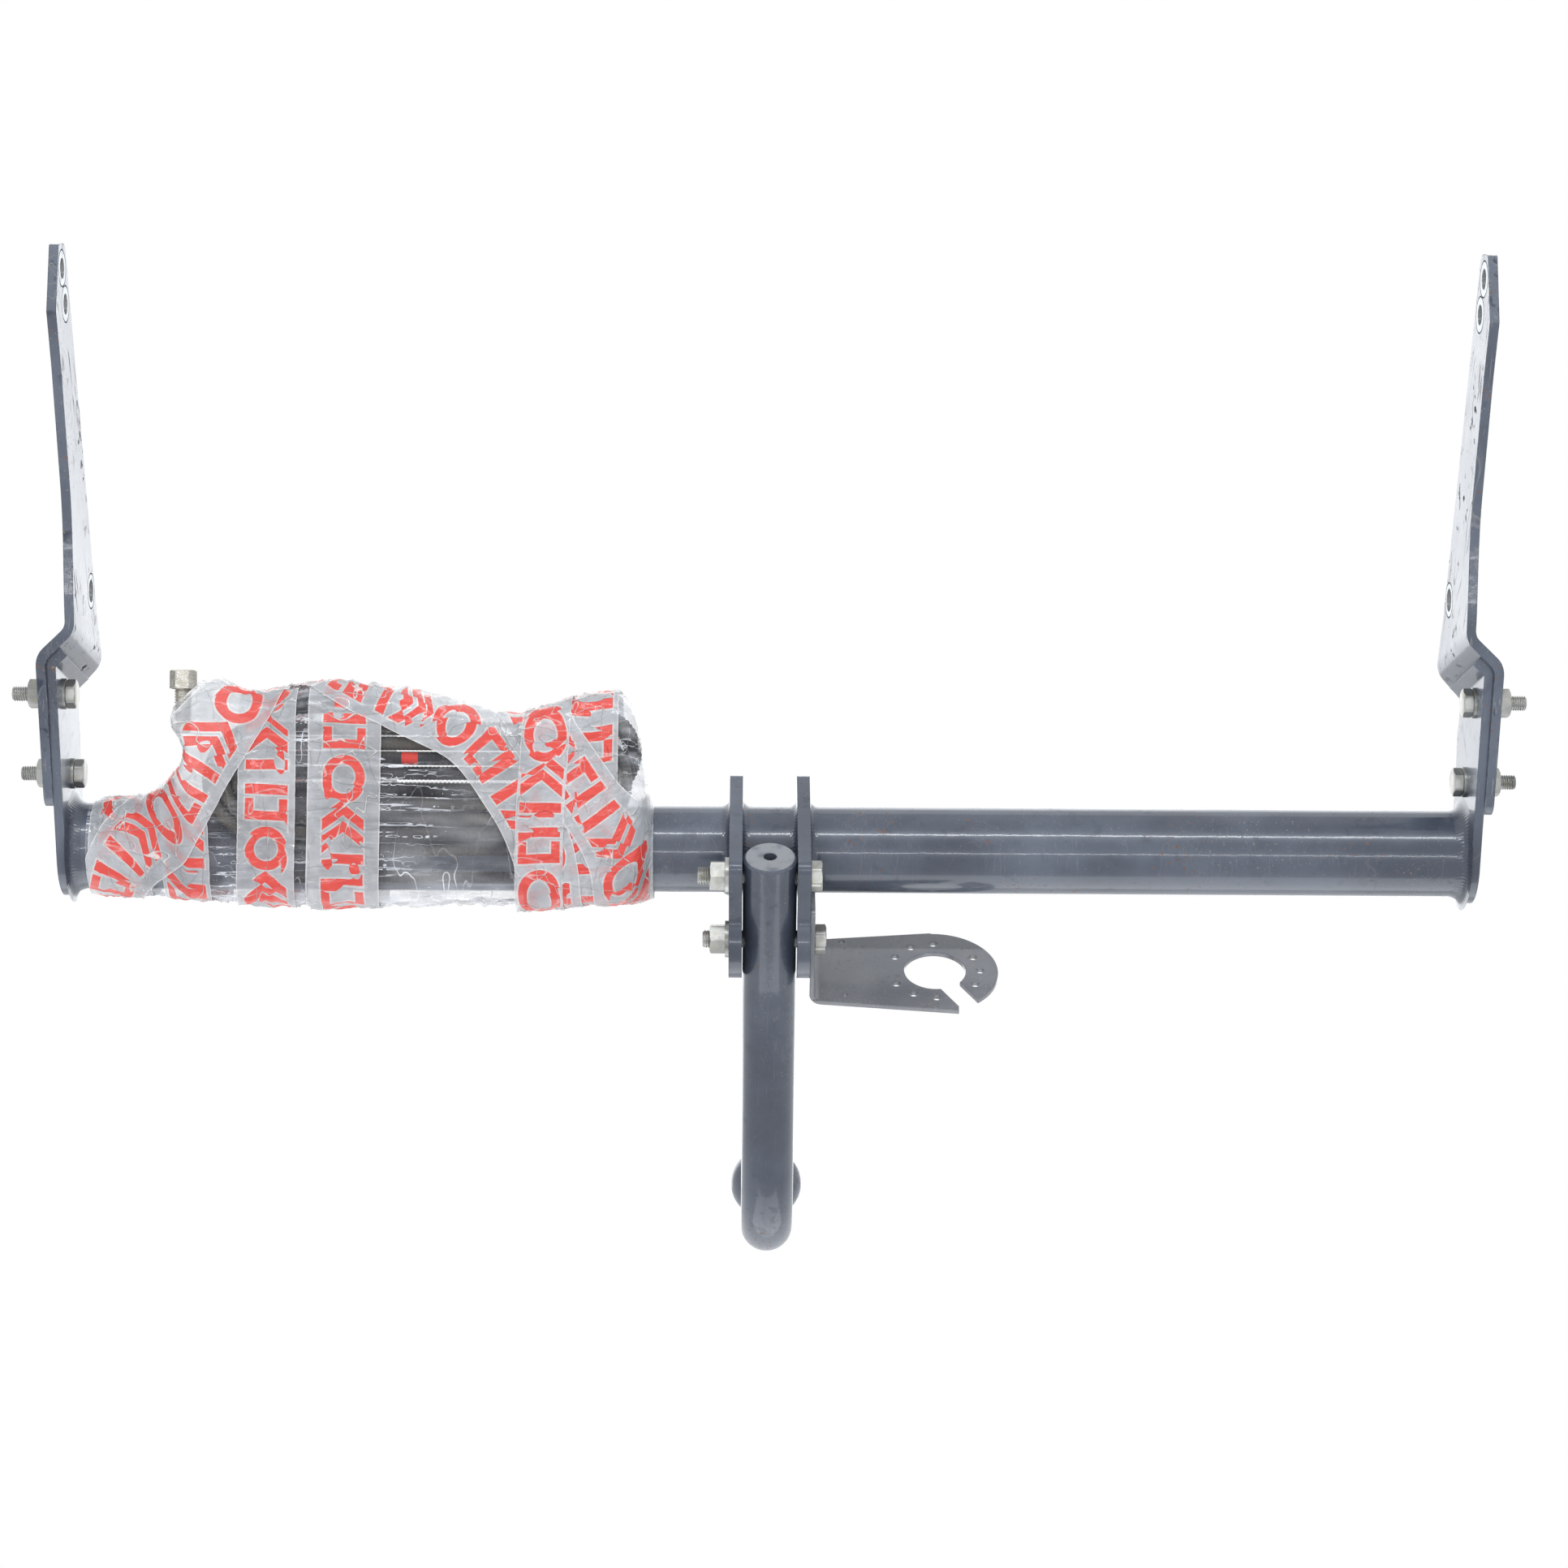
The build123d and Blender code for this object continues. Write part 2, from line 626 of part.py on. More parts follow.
with BuildPart() as kit_film:
    add(filled_wrap(film_stations, 0))
    add(filled_wrap(film_stations, -film_wall), mode=Mode.SUBTRACT)
    spare_plane = Plane(
        origin=kit_plane(spare_along).from_local_coords((hank_top + spare_head_over_hank, spare_front)),
        x_dir=(1, 0, 0),
        z_dir=kit_plane(spare_along).x_dir,
    )
    with BuildSketch(spare_plane):
        Circle(arm_bolt_d / 2 + spare_gap)
    extrude(amount=-spare_length, mode=Mode.SUBTRACT)
save(kit_film.part, "kit_film")

spare_bolt = hex_bolt(spare_plane, arm_bolt_across, arm_bolt_head, arm_bolt_d, spare_length)
save(spare_bolt, "kit_spare_bolt")

for name, (left, right) in tape_bands.items():
    with BuildPart() as band:
        add(filled_wrap(stations_between(left, right), tape_gap + tape_wall))
        add(filled_wrap(stations_between(left, right), tape_gap), mode=Mode.SUBTRACT)
    save(band.part, name)

with BuildPart() as kit_tape_three:
    diagonal_stations = stations_between(diagonal_top, diagonal_bottom)
    add(filled_wrap(diagonal_stations, tape_gap + tape_wall))
    add(filled_wrap(diagonal_stations, tape_gap), mode=Mode.SUBTRACT)
    leaning = kit_plane(0)
    with BuildSketch(Plane(origin=leaning.origin, x_dir=(1, 0, 0), z_dir=leaning.y_dir)):
        below = tube_r + 2 * diagonal_width
        above = hank_top + diagonal_width
        with BuildLine():
            Polyline(
                (diagonal_bottom, below), (diagonal_bottom + diagonal_width, below),
                (diagonal_top, -above), (diagonal_top - diagonal_width, -above), close=True,
            )
        make_face()
    extrude(amount=4 * hank_front, both=True, mode=Mode.INTERSECT)
save(kit_tape_three.part, "kit_tape_three")

# The hank's last run climbs to the second layer, whose turns go out again
loom_plane = Plane(
    origin=kit_plane((loom_left + loom_right) / 2).from_local_coords((loom_centre_above, loom_low)),
    x_dir=(-1, 0, 0),
    z_dir=kit_plane(0).y_dir,
)
run_half = (loom_left - loom_right) / 2 - loom_half_width - loom_d / 2


def run_side(number):
    """Where a run lies across the hank."""
    away = loom_half_width - number * loom_pitch / 2
    return away if number % 2 == 0 else -away


# The climb is a gentle double arc; its quarter point lies this far along and this far up
climb_turn = 2 * atan2(loom_pitch / 2, run_half)
climb_radius = run_half / sin(climb_turn)
climb_along = run_half - climb_radius * sin(climb_turn / 2)
climb_up = climb_radius * (1 - cos(climb_turn / 2))

with BuildPart() as kit_loom:
    with BuildLine(loom_plane) as loom_path:
        for step in range(2 * last_run + 1):
            way = 1 if step % 2 == 0 else -1
            side = run_side(min(step, 2 * last_run - step))
            low = 0 if step <= last_run else loom_pitch
            high = 0 if step < last_run else loom_pitch
            start = (-way * run_half, side, low)
            finish = (way * run_half, side, high)
            if step == last_run:
                half_way = (0, side, loom_pitch / 2)
                ThreePointArc(start, (-way * climb_along, side, climb_up), half_way)
                ThreePointArc(half_way, (way * climb_along, side, loom_pitch - climb_up), finish)
            else:
                Line(start, finish)
            if step < 2 * last_run:
                next_side = run_side(min(step + 1, 2 * last_run - step - 1))
                turn_r = abs(side - next_side) / 2
                far_point = (way * (run_half + turn_r), (side + next_side) / 2, high)
                ThreePointArc(finish, far_point, (way * run_half, next_side, high))
    loom_start = loom_path.wire().position_at(0)
    with BuildSketch(Plane(origin=loom_start, x_dir=(0, 1, 0), z_dir=(-1, 0, 0))):
        RegularPolygon(loom_d / 2, loom_sides)
    sweep(path=loom_path.wire())
save(kit_loom.part, "kit_loom")


def least_gap(wire, diameter, spacing=2.5):
    """Least clear distance between stretches of a tube that are not neighbours along it."""
    count = int(wire.length / spacing)
    points = [tuple(wire.position_at(index / count)) for index in range(count + 1)]
    apart_by = int(3 * diameter / spacing)
    nearest = min(
        dist(points[one], points[two])
        for one in range(len(points))
        for two in range(one + apart_by, len(points))
    )
    return nearest - diameter


print("loom:", round(loom_path.wire().length), "mm long, least gap to itself",
      round(least_gap(loom_path.wire(), loom_d), 2), "mm")
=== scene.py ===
import json
from math import cos, hypot, pi, radians, sin, tan

import bmesh
import bpy
from mathutils import Matrix, Vector, noise


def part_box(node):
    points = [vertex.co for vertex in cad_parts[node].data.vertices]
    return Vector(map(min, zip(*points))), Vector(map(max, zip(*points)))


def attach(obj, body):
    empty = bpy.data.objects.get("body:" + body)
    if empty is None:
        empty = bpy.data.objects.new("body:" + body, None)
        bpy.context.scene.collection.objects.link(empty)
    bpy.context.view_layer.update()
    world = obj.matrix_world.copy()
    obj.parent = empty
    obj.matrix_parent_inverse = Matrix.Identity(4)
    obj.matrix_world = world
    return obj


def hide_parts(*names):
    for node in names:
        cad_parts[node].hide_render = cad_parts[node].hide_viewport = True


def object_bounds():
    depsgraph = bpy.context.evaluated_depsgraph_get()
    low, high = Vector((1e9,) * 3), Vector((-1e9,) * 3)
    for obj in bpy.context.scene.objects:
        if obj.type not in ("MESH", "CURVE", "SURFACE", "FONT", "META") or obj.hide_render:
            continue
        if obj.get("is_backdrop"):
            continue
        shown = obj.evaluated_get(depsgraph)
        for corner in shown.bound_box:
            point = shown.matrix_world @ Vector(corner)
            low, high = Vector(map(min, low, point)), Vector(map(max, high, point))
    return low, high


# Towbar with a fixed swan neck and a wrapped fitting kit.
# Metres. Origin at the centre of the coupling ball, +Y to the front of the vehicle, +Z up.

bl_info = {
    "name": "Towbar",
    "version": (1, 0, 0),
    "blender": (4, 5, 0),
    "location": "View3D > Sidebar > Towbar",
    "description": "Finishes a packed towbar: paint, fasteners, welds, wrapped kit and studio",
    "category": "Object",
}

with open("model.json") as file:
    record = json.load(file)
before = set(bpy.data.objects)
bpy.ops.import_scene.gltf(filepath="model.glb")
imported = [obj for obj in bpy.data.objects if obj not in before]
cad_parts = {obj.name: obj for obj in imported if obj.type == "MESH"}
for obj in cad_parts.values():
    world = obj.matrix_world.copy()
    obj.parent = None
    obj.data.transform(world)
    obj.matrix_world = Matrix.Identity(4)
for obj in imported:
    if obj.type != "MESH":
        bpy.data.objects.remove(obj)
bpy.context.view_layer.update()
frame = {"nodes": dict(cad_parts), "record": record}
nodes = frame["nodes"]

mm = 0.001
tube_low, tube_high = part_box("cross_tube")
tube_r = (tube_high.z - tube_low.z) / 2
tube_centre = (tube_low + tube_high) / 2
tube_centre.x = 0


def colour_setting(name, description, default):
    """A colour that a user may change."""
    return bpy.props.FloatVectorProperty(
        name=name, description=description, subtype="COLOR", size=3, default=default)


def length_setting(name, description, default):
    """A length that a user may change, in metres."""
    return bpy.props.FloatProperty(
        name=name, description=description, subtype="DISTANCE", unit="LENGTH", default=default)


def angle_setting(name, description, degrees):
    """An angle that a user may change."""
    return bpy.props.FloatProperty(
        name=name, description=description, subtype="ANGLE", unit="ROTATION", default=radians(degrees))


class PaintSettings(bpy.types.PropertyGroup):
    """Colours and wear of the painted steel."""

    paint: colour_setting("Paint", "Colour of the paint", (0.036, 0.043, 0.062))
    haze: colour_setting("Haze", "Colour of the dusty bloom", (0.125, 0.145, 0.185))
    dust: colour_setting("Dust", "Colour of dirt specks", (0.30, 0.25, 0.19))
    rust: colour_setting("Rust", "Colour of rust specks", (0.16, 0.065, 0.028))
    steel: colour_setting("Steel", "Colour of bare steel", (0.55, 0.55, 0.54))
    film_dust: colour_setting("Film of dust", "Colour of the bracket's dusty face", (0.265, 0.265, 0.272))
    end_face: colour_setting("End face", "Colour of the neck's pale front end", (0.34, 0.35, 0.36))
    edge: length_setting("Edge", "Radius of the rounded edges", 0.0011)
    ring: length_setting("Ring", "Radius of the bare ring round a chassis hole", 0.0113)


class FastenerSettings(bpy.types.PropertyGroup):
    """Sizes and colours of the screws."""

    zinc: colour_setting("Zinc", "Colour of the plating", (0.42, 0.43, 0.42))
    flake: colour_setting("Flake", "Colour of the flake coating", (0.66, 0.65, 0.60))
    small_d: length_setting("Arm bolt", "Diameter of the arm bolts", 0.010)
    small_pitch: length_setting("Arm bolt pitch", "Pitch of the arm bolts' thread", 0.0015)
    spare_d: length_setting("Spare screw", "Diameter of the spare screw", 0.0118)
    large_d: length_setting("Neck bolt", "Diameter of the neck bolts", 0.012)
    large_pitch: length_setting("Neck bolt pitch", "Pitch of the neck bolts' thread", 0.00175)


class WeldSettings(bpy.types.PropertyGroup):
    """Form of the weld beads."""

    ripples: bpy.props.IntProperty(
        name="Ripples", description="Ripples round one bead", default=74, min=8, max=200)
    ripple: length_setting("Ripple", "Height of a ripple", 0.00022)


class WrapSettings(bpy.types.PropertyGroup):
    """Colours of the film, the tape and the loom in it, and sizes of what repeats on them."""

    tape: colour_setting("Tape", "Colour of the tape", (0.58, 0.62, 0.665))
    print_colour: colour_setting("Print", "Colour of the tape's marks", (0.78, 0.032, 0.015))
    # This pale colour also makes the film's painted glints and painted reflection.
    film: colour_setting("Film", "Colour of creased film", (0.80, 0.86, 0.94))
    conduit: colour_setting("Conduit", "Colour of the conduit", (0.020, 0.020, 0.024))
    marker: colour_setting("Marker", "Colour of the marker on the conduit", (0.62, 0.035, 0.02))
    mark_pitch: length_setting("Mark pitch", "Length of the tape's repeat", 0.104)
    rib_pitch: length_setting("Rib pitch", "Pitch of the conduit's ribs", 0.0028)
    rib_depth: length_setting("Rib depth", "Depth of the grooves between the conduit's ribs", 0.00045)


class StageSettings(bpy.types.PropertyGroup):
    """Camera and floor."""

    camera_tilt: angle_setting("Tilt", "Camera's tilt under the level of the tube", 33.06)
    camera_yaw: angle_setting("Yaw", "Camera's turn to the side", 0.6)
    camera_roll: angle_setting("Roll", "Camera's roll", 0.36)
    camera_angle: angle_setting("Angle of view", "Camera's angle of view", 25.15)
    camera_place: bpy.props.FloatVectorProperty(
        name="Place", description="Tube's centre as the camera has it: right, down and away",
        subtype="TRANSLATION", unit="LENGTH", size=3, default=(-0.0095, 0.0431, 2.318))
    floor: colour_setting("Floor", "Colour of the floor", (0.84, 0.84, 0.84))


class Value:
    """A node's output, reckoned with like a number."""

    def __init__(self, tree, socket):
        self.tree = tree
        self.socket = socket

    def __add__(self, other):
        return self.tree.math("ADD", self, other)

    def __sub__(self, other):
        return self.tree.math("SUBTRACT", self, other)

    def __rsub__(self, other):
        return self.tree.math("SUBTRACT", other, self)

    def __mul__(self, other):
        return self.tree.math("MULTIPLY", self, other)

    def __truediv__(self, other):
        return self.tree.math("DIVIDE", self, other)

    def __abs__(self):
        return self.tree.math("ABSOLUTE", self)


class Tree:
    """A node tree that is filled by calls. A value is a number, a vector, a colour or a node's output."""

    def __init__(self, tree):
        self.tree = tree

    def put(self, socket, value):
        """Links an input to a node's output, or sets it to a plain value."""
        if isinstance(value, Value):
            self.tree.links.new(value.socket, socket)
        else:
            socket.default_value = value

    def fill(self, node, values):
        """Gives a node's inputs their values, by name or number."""
        for key, value in values.items():
            self.put(node.inputs[key], value)

    def add(self, kind, values=None, output=0, **settings):
        """Adds a node and returns one of its outputs."""
        node = self.tree.nodes.new(kind)
        for name, value in settings.items():
            setattr(node, name, value)
        self.fill(node, values or {})
        return Value(self, node.outputs[output])

    def math(self, operation, *values, clamp=False):
        return self.add("ShaderNodeMath", dict(enumerate(values)), operation=operation, use_clamp=clamp)

    def clamped(self, value):
        """The value, kept between 0 and 1."""
        return self.math("ADD", value, 0.0, clamp=True)

    def most(self, first, *others):
        """The greatest of some values."""
        for other in others:
            first = self.math("MAXIMUM", first, other)
        return first

    def near(self, value, centre, half):
        """1 where the value is less than a half width from a centre, else 0."""
        return self.math("COMPARE", value, centre, half)

    def away(self, one, two):
        """The distance that two lengths at right angles to each other make."""
        return self.math("SQRT", self.math("POWER", one, 2.0) + self.math("POWER", two, 2.0))

    def vector(self, operation, one, two):
        output = "Value" if operation == "DOT_PRODUCT" else "Vector"
        return self.add("ShaderNodeVectorMath", {0: one, 1: two}, output, operation=operation)

    def parts(self, vector):
        """The three parts of a vector."""
        node = self.tree.nodes.new("ShaderNodeSeparateXYZ")
        self.put(node.inputs[0], vector)
        return [Value(self, output) for output in node.outputs]

    def point(self, x, y, z):
        return self.add("ShaderNodeCombineXYZ", {"X": x, "Y": y, "Z": z})

    def place(self):
        """The place on the object."""
        return self.add("ShaderNodeTexCoord", output="Object")

    def noise(self, place, scale, detail=3.0, roughness=0.5):
        """A noise between 0 and 1. A scale of three numbers stretches it."""
        if isinstance(scale, tuple):
            place = self.add("ShaderNodeMapping", {"Vector": place, "Scale": scale})
            scale = 1.0
        values = {"Vector": place, "Scale": scale, "Detail": detail, "Roughness": roughness}
        return self.add("ShaderNodeTexNoise", values)

    def ramp(self, value, low, high):
        """0 under low and 1 over high, smooth between them. High may lie under low."""
        values = {"Value": value, "From Min": low, "From Max": high}
        return self.add("ShaderNodeMapRange", values, interpolation_type="SMOOTHSTEP")

    def patches(self, place, scale, low, high, detail=3.0, roughness=0.5):
        """Patches where a noise passes from low to high."""
        return self.ramp(self.noise(place, scale, detail, roughness), low, high)

    def ridges(self, value, width):
        """1 on the thin lines at which a noise passes its middle, 0 away from them."""
        return self.ramp(abs(value - 0.5), width, 0.0)

    def triangle_wave(self, value):
        """0 to 1 and back over each whole step of the value."""
        return 1.0 - abs(self.math("FRACT", value) * 2.0 - 1.0)

    def blend(self, share, one, two):
        """A number between two numbers."""
        return self.add("ShaderNodeMix", {0: share, 2: one, 3: two}, data_type="FLOAT")

    def layers(self, colour, *over):
        """A colour with others over it, each given as its share and itself."""
        for share, tint in over:
            values = {0: share, 6: colour, 7: tint}
            colour = self.add("ShaderNodeMix", values, output=2, data_type="RGBA")
        return colour

    def bevel(self, radius):
        """A normal that rounds the edges off."""
        return self.add("ShaderNodeBevel", {"Radius": radius}, samples=4)

    def bump(self, height, strength, distance, normal=None):
        values = {"Height": height, "Strength": strength, "Distance": distance}
        if normal:
            values["Normal"] = normal
        return self.add("ShaderNodeBump", values)

    def ray(self, kind):
        """1 for rays of a kind, 0 for others."""
        return self.add("ShaderNodeLightPath", output=f"Is {kind} Ray")


def shade(colour, share=1.0):
    """A colour times a share, as a socket takes it."""
    return (*(share * channel for channel in colour), 1.0)


def new_material(name):
    """A material with one shader. Returns it, its tree and the shader."""
    material = bpy.data.materials.new(name)
    material.use_nodes = True
    return material, Tree(material.node_tree), material.node_tree.nodes["Principled BSDF"]


def paint_material(name, settings, rings=(), end_face=None, haze=None, least_haze=0.1, most_haze=0.8,
                   marks=0.3):
    """Glossy dark paint with bloom, dust, rust specks, scratches, worn edges and bare rings round holes.

    Marks is how much of its scratches and blotches shows. A ring is given as the Y and Z of its centre. An
    end face, given as a way and a distance along it, is thinly painted and pale.
    """
    material, tree, shader = new_material(name)
    place = tree.place()
    rounded = tree.bevel(settings.edge)
    flat = tree.add("ShaderNodeNewGeometry", output="True Normal")
    at_edge = tree.ramp(1.0 - tree.vector("DOT_PRODUCT", rounded, flat), 0.02, 0.16)
    bloom = tree.patches(place, 9.0, 0.32, 0.72, 5.0, 0.6)
    worn = at_edge * tree.patches(place, 260.0, 0.40, 0.60)
    rust = tree.patches(place, 330.0, 0.64, 0.70, 2.0) * tree.patches(place, 24.0, 0.50, 0.60)
    dust = tree.patches(place, 620.0, 0.68, 0.73, 1.0) * tree.patches(place, 15.0, 0.42, 0.62)
    fine = tree.patches(place, (700.0, 24.0, 300.0), 0.61, 0.65, 2.0) * tree.patches(place, 17.0, 0.45, 0.55)
    long = tree.ridges(tree.noise(place, (40.0, 8.0, 60.0), 2.0), 0.014)
    long *= tree.patches(place, 26.0, 0.48, 0.58, 2.0)
    scratches = tree.most(fine, long) * marks
    blotches = tree.patches(place, 110.0, 0.59, 0.66) * tree.patches(place, 21.0, 0.46, 0.58) * marks
    colour = tree.layers(
        shade(settings.paint),
        (tree.blend(bloom, least_haze, most_haze), shade(haze or settings.haze)),
        (worn * 0.55, shade(settings.haze, 2.2)),
        (rust * 0.8, shade(settings.rust)),
        (dust * 0.6, shade(settings.dust)),
        (scratches * 0.25, shade(settings.steel)),
    )
    dulled = tree.most(scratches, blotches, at_edge * 0.75)
    rough = tree.clamped(tree.blend(bloom, 0.26, 0.42) + (dust + rust) * 0.35)
    if end_face:
        way, distance = end_face
        on_end = tree.ramp(tree.vector("DOT_PRODUCT", place, way), distance - 0.6 * mm, distance - 0.2 * mm)
        thin = on_end * tree.patches(place, 90.0, 0.20, 0.55, 4.0)
        colour = tree.layers(colour, (thin * 0.8, shade(settings.end_face)))
        rough = tree.clamped(rough + thin * 0.3)
    if rings:
        bare, rims = bare_rings(tree, place, rings, settings.ring)
        dulled = tree.most(dulled, rims)
        colour = tree.layers(colour, (bare, shade(settings.steel, 0.6)))
        tree.fill(shader, {"Metallic": bare * 0.6})
    peel = tree.noise(place, 210.0, 2.0) * 0.5 + tree.noise(place, 34.0, 2.0) * 1.6
    uneven = tree.bump(peel, 0.35, 0.00022, rounded)
    shiny = tree.math("SUBTRACT", 1.0, dulled, clamp=True)
    tree.fill(shader, {
        "Base Color": colour,
        "Roughness": rough,
        "Normal": uneven,
        "Specular IOR Level": shiny * 0.50,
        "Specular Tint": (0.88, 0.94, 1.0, 1.0),
        "Coat Weight": shiny * 0.50,
        "Coat Roughness": 0.09,
        "Coat IOR": 1.55,
        "Coat Tint": (0.86, 0.92, 1.0, 1.0),
        "Coat Normal": uneven,
    })
    return material


def bare_rings(tree, place, centres, ring_r):
    """Where the rings round holes are bare, and where their ragged rims are."""
    y, z = tree.parts(place)[1:]
    ragged = (tree.noise(place, 300.0) - 0.5) * (0.8 * mm)
    rim = 0.6 * mm
    radii = [tree.away(y - centre_y, z - centre_z) + ragged for centre_y, centre_z in centres]
    bare = [tree.ramp(radius, ring_r, ring_r - rim) for radius in radii]
    rims = [tree.near(radius, ring_r, rim) for radius in radii]
    return tree.most(*bare), tree.most(*rims)


def zinc_material(name, colour, roughness, grain):
    """Zinc plating, mottled and partly yellow, with darker patches and fine grain."""
    material, tree, shader = new_material(name)
    place = tree.place()
    mottled = tree.noise(place, 240.0, 4.0, 0.65)
    yellow = (colour[0] * 0.95, colour[1] * 0.86, colour[2] * 0.62)
    tree.fill(shader, {
        "Base Color": tree.layers(
            shade(colour),
            (tree.patches(place, 60.0, 0.45, 0.65), shade(colour, 0.62)),
            (tree.ramp(mottled, 0.5, 0.7) * 0.5, shade(yellow)),
        ),
        "Roughness": tree.blend(mottled, roughness - 0.08, roughness + 0.12),
        "Normal": tree.bump(tree.noise(place, 700.0), 0.6, grain, tree.bevel(0.0003)),
        "Metallic": 0.8,
    })
    return material


def conduit_material(settings):
    """Black corrugated plastic with dust in its grooves, painted olive glints in stretches and one marker on
    a run.
    """
    material, tree, shader = new_material("conduit")
    place = tree.place()
    dusty = tree.patches(place, 45.0, 0.50, 0.75, 4.0)
    # Painted reflection: olive glints laid on the black conduit in stretches, as colour only.
    olive_glints = tree.patches(place, (13.0, 30.0, 30.0), 0.50, 0.66, 2.0)
    from_marker = tree.vector("SUBTRACT", place, tuple(kit_point(marker_x, marker_up, 0.0)))
    beside = tree.parts(from_marker)[0]
    above = tree.vector("DOT_PRODUCT", from_marker, tuple(kit_up))
    marker = tree.near(beside, 0.0, marker_half_width * mm) * tree.near(above, 0.0, marker_half_height * mm)
    tree.fill(shader, {
        "Base Color": tree.layers(
            shade(settings.conduit),
            (dusty * 0.4, (0.050, 0.046, 0.042, 1.0)),
            (olive_glints * 0.6, (0.135, 0.128, 0.105, 1.0)),
            (marker, shade(settings.marker)),
        ),
        "Roughness": tree.blend(dusty, 0.50, 0.65),
        "Specular IOR Level": 0.2,
    })
    return material


def tape_marks(tree, along, across, grow):
    """Generic marks in one repeat of the tape, in metres along and across it, grown by a margin."""

    def band(value, centre, half):
        return tree.near(value, centre, half + grow)

    height = band(across, 0.0, 0.0135)
    leaning = along + abs(across) * 0.75
    bars = tree.most(band(along, 0.0080, 0.0032), band(along, 0.0960, 0.0032), band(along, 0.0790, 0.0029))
    arrows = tree.most(band(leaning, 0.0290, 0.0036), band(leaning, 0.0400, 0.0036))
    ring = band(tree.away(along - 0.0580, across), 0.0108, 0.0029)
    feet = band(along, 0.0840, 0.0060) * band(abs(across), 0.0108, 0.0027)
    return tree.most(bars * height, arrows * height, ring, feet)


def tape_material(settings):
    """Translucent tape with red generic marks that repeat along it, shifted and doubled at its folds, and
    white glints painted along its crease lines.
    """
    material, tree, shader = new_material("tape")
    place = tree.place()
    gone, off = tree.parts(tree.add("ShaderNodeUVMap", uv_map="tape"))[:2]
    folds = tree.patches(place, (20.0, 40.0, 40.0), 0.56, 0.565, 1.0)
    tucked = tree.patches(place, (50.0, 26.0, 26.0), 0.64, 0.65, 1.0)
    wavy = (tree.noise(place, 36.0, 1.0) - 0.5) * 0.0026
    along = tree.math("MODULO", gone + (folds * 0.0030 + tucked * 0.0065) + wavy, settings.mark_pitch)
    across = off + wavy * 0.6
    marks = tape_marks(tree, along, across, 0.0)
    outline = tape_marks(tree, along, across, 0.0011)
    milky = tree.noise(place, 55.0, 4.0, 0.6)
    # Painted highlights: thin white glint lines along the tape's ridges and where they cross, laid on as
    # colour and cover; its bump follows the same lines.
    crease_glints = tree.ridges(tree.noise(place, (15.0, 42.0, 42.0), 2.0), 0.010)
    crossing_glints = tree.ridges(tree.noise(place, (50.0, 16.0, 20.0), 2.0), 0.008)
    patch = tree.patches(place, 14.0, 0.45, 0.60, 2.0)
    lines = tree.most(crease_glints, crossing_glints) * tree.blend(patch, 0.35, 1.0)
    # The tape's edges are whitened too, and join the painted glints.
    rim = tree.ramp(tree.add("ShaderNodeAttribute", output="Fac", attribute_name="edge"), 0.955, 0.985)
    glints_and_pale_edges = tree.most(lines * 0.8, rim * 0.7)
    cover = tree.most(tree.blend(milky, 0.54, 0.92) - patch * 0.16, marks * 0.90, glints_and_pale_edges)
    height = milky + (lines * 0.5 - folds * 0.35)
    tree.fill(shader, {
        "Base Color": tree.layers(
            shade(settings.tape, 0.86),
            (tree.ramp(milky, 0.35, 0.65), shade(settings.tape)),
            (outline * 0.8, (0.80, 0.81, 0.82, 1.0)),
            (marks * 0.94, shade(settings.print_colour)),
            (glints_and_pale_edges, (0.95, 0.95, 0.96, 1.0)),
        ),
        "Alpha": cover,
        "Normal": tree.bump(height, 0.8, 0.0020),
        "Roughness": 0.24,
        "Specular IOR Level": 0.35,
        "Coat Weight": 0.4,
        "Coat Roughness": 0.07,
    })
    return material


def film_material(settings):
    """Clear stretch film: nearly invisible where smooth, with white glints painted along its tension lines
    and folds, a broad painted reflection, and clouded where it gathers.
    """
    material, tree, shader = new_material("film")
    place = tree.place()
    tension = tree.noise(place, (7.0, 170.0, 170.0), 2.0)
    folded = tree.noise(place, (38.0, 15.0, 15.0), 2.0)
    tight = tree.patches(place, 15.0, 0.50, 0.64, 2.0)
    slack = tree.patches(place, 19.0, 0.52, 0.66, 2.0)
    # Painted highlights: thin white glint lines of the film's pale colour, laid on as cover along its
    # tension ridges and folds.
    streak_glints = tree.ridges(tension, 0.022) * tree.blend(tight, 0.08, 0.80)
    folds = tree.ridges(folded, 0.006) * tree.blend(slack, 0.18, 0.95)
    up = tree.vector("DOT_PRODUCT", tree.vector("SUBTRACT", place, tuple(tube_centre)), tuple(kit_up))
    at_bottom = tree.ramp(up, -0.020, -0.034)
    at_top = tree.ramp(up, 0.076, 0.096)
    at_right = tree.ramp(tree.parts(place)[0], 0.101, 0.086)
    gathered = tree.most(at_bottom, at_top, at_right)
    clouded = gathered * tree.patches(place, (16.0, 130.0, 130.0), 0.34, 0.70, 2.0)
    # Painted reflection: broad soft patches of the film's pale colour, standing in for a large soft lamp
    # seen in the film.
    painted_reflection = tree.patches(place, (10.0, 34.0, 34.0), 0.38, 0.74, 3.0, 0.6)
    cover = tree.most(streak_glints, folds) + slack * 0.06 + clouded * 0.42 + tree.blend(painted_reflection, 0.04, 0.24)
    tree.fill(shader, {
        "Base Color": shade(settings.film),
        "Alpha": tree.clamped(cover),
        "Normal": tree.bump(tension + folded * 2.0, 0.9, 0.0012),
        "Roughness": 0.14,
        "Coat Weight": 1.0,
        "Coat Roughness": 0.04,
    })
    return material


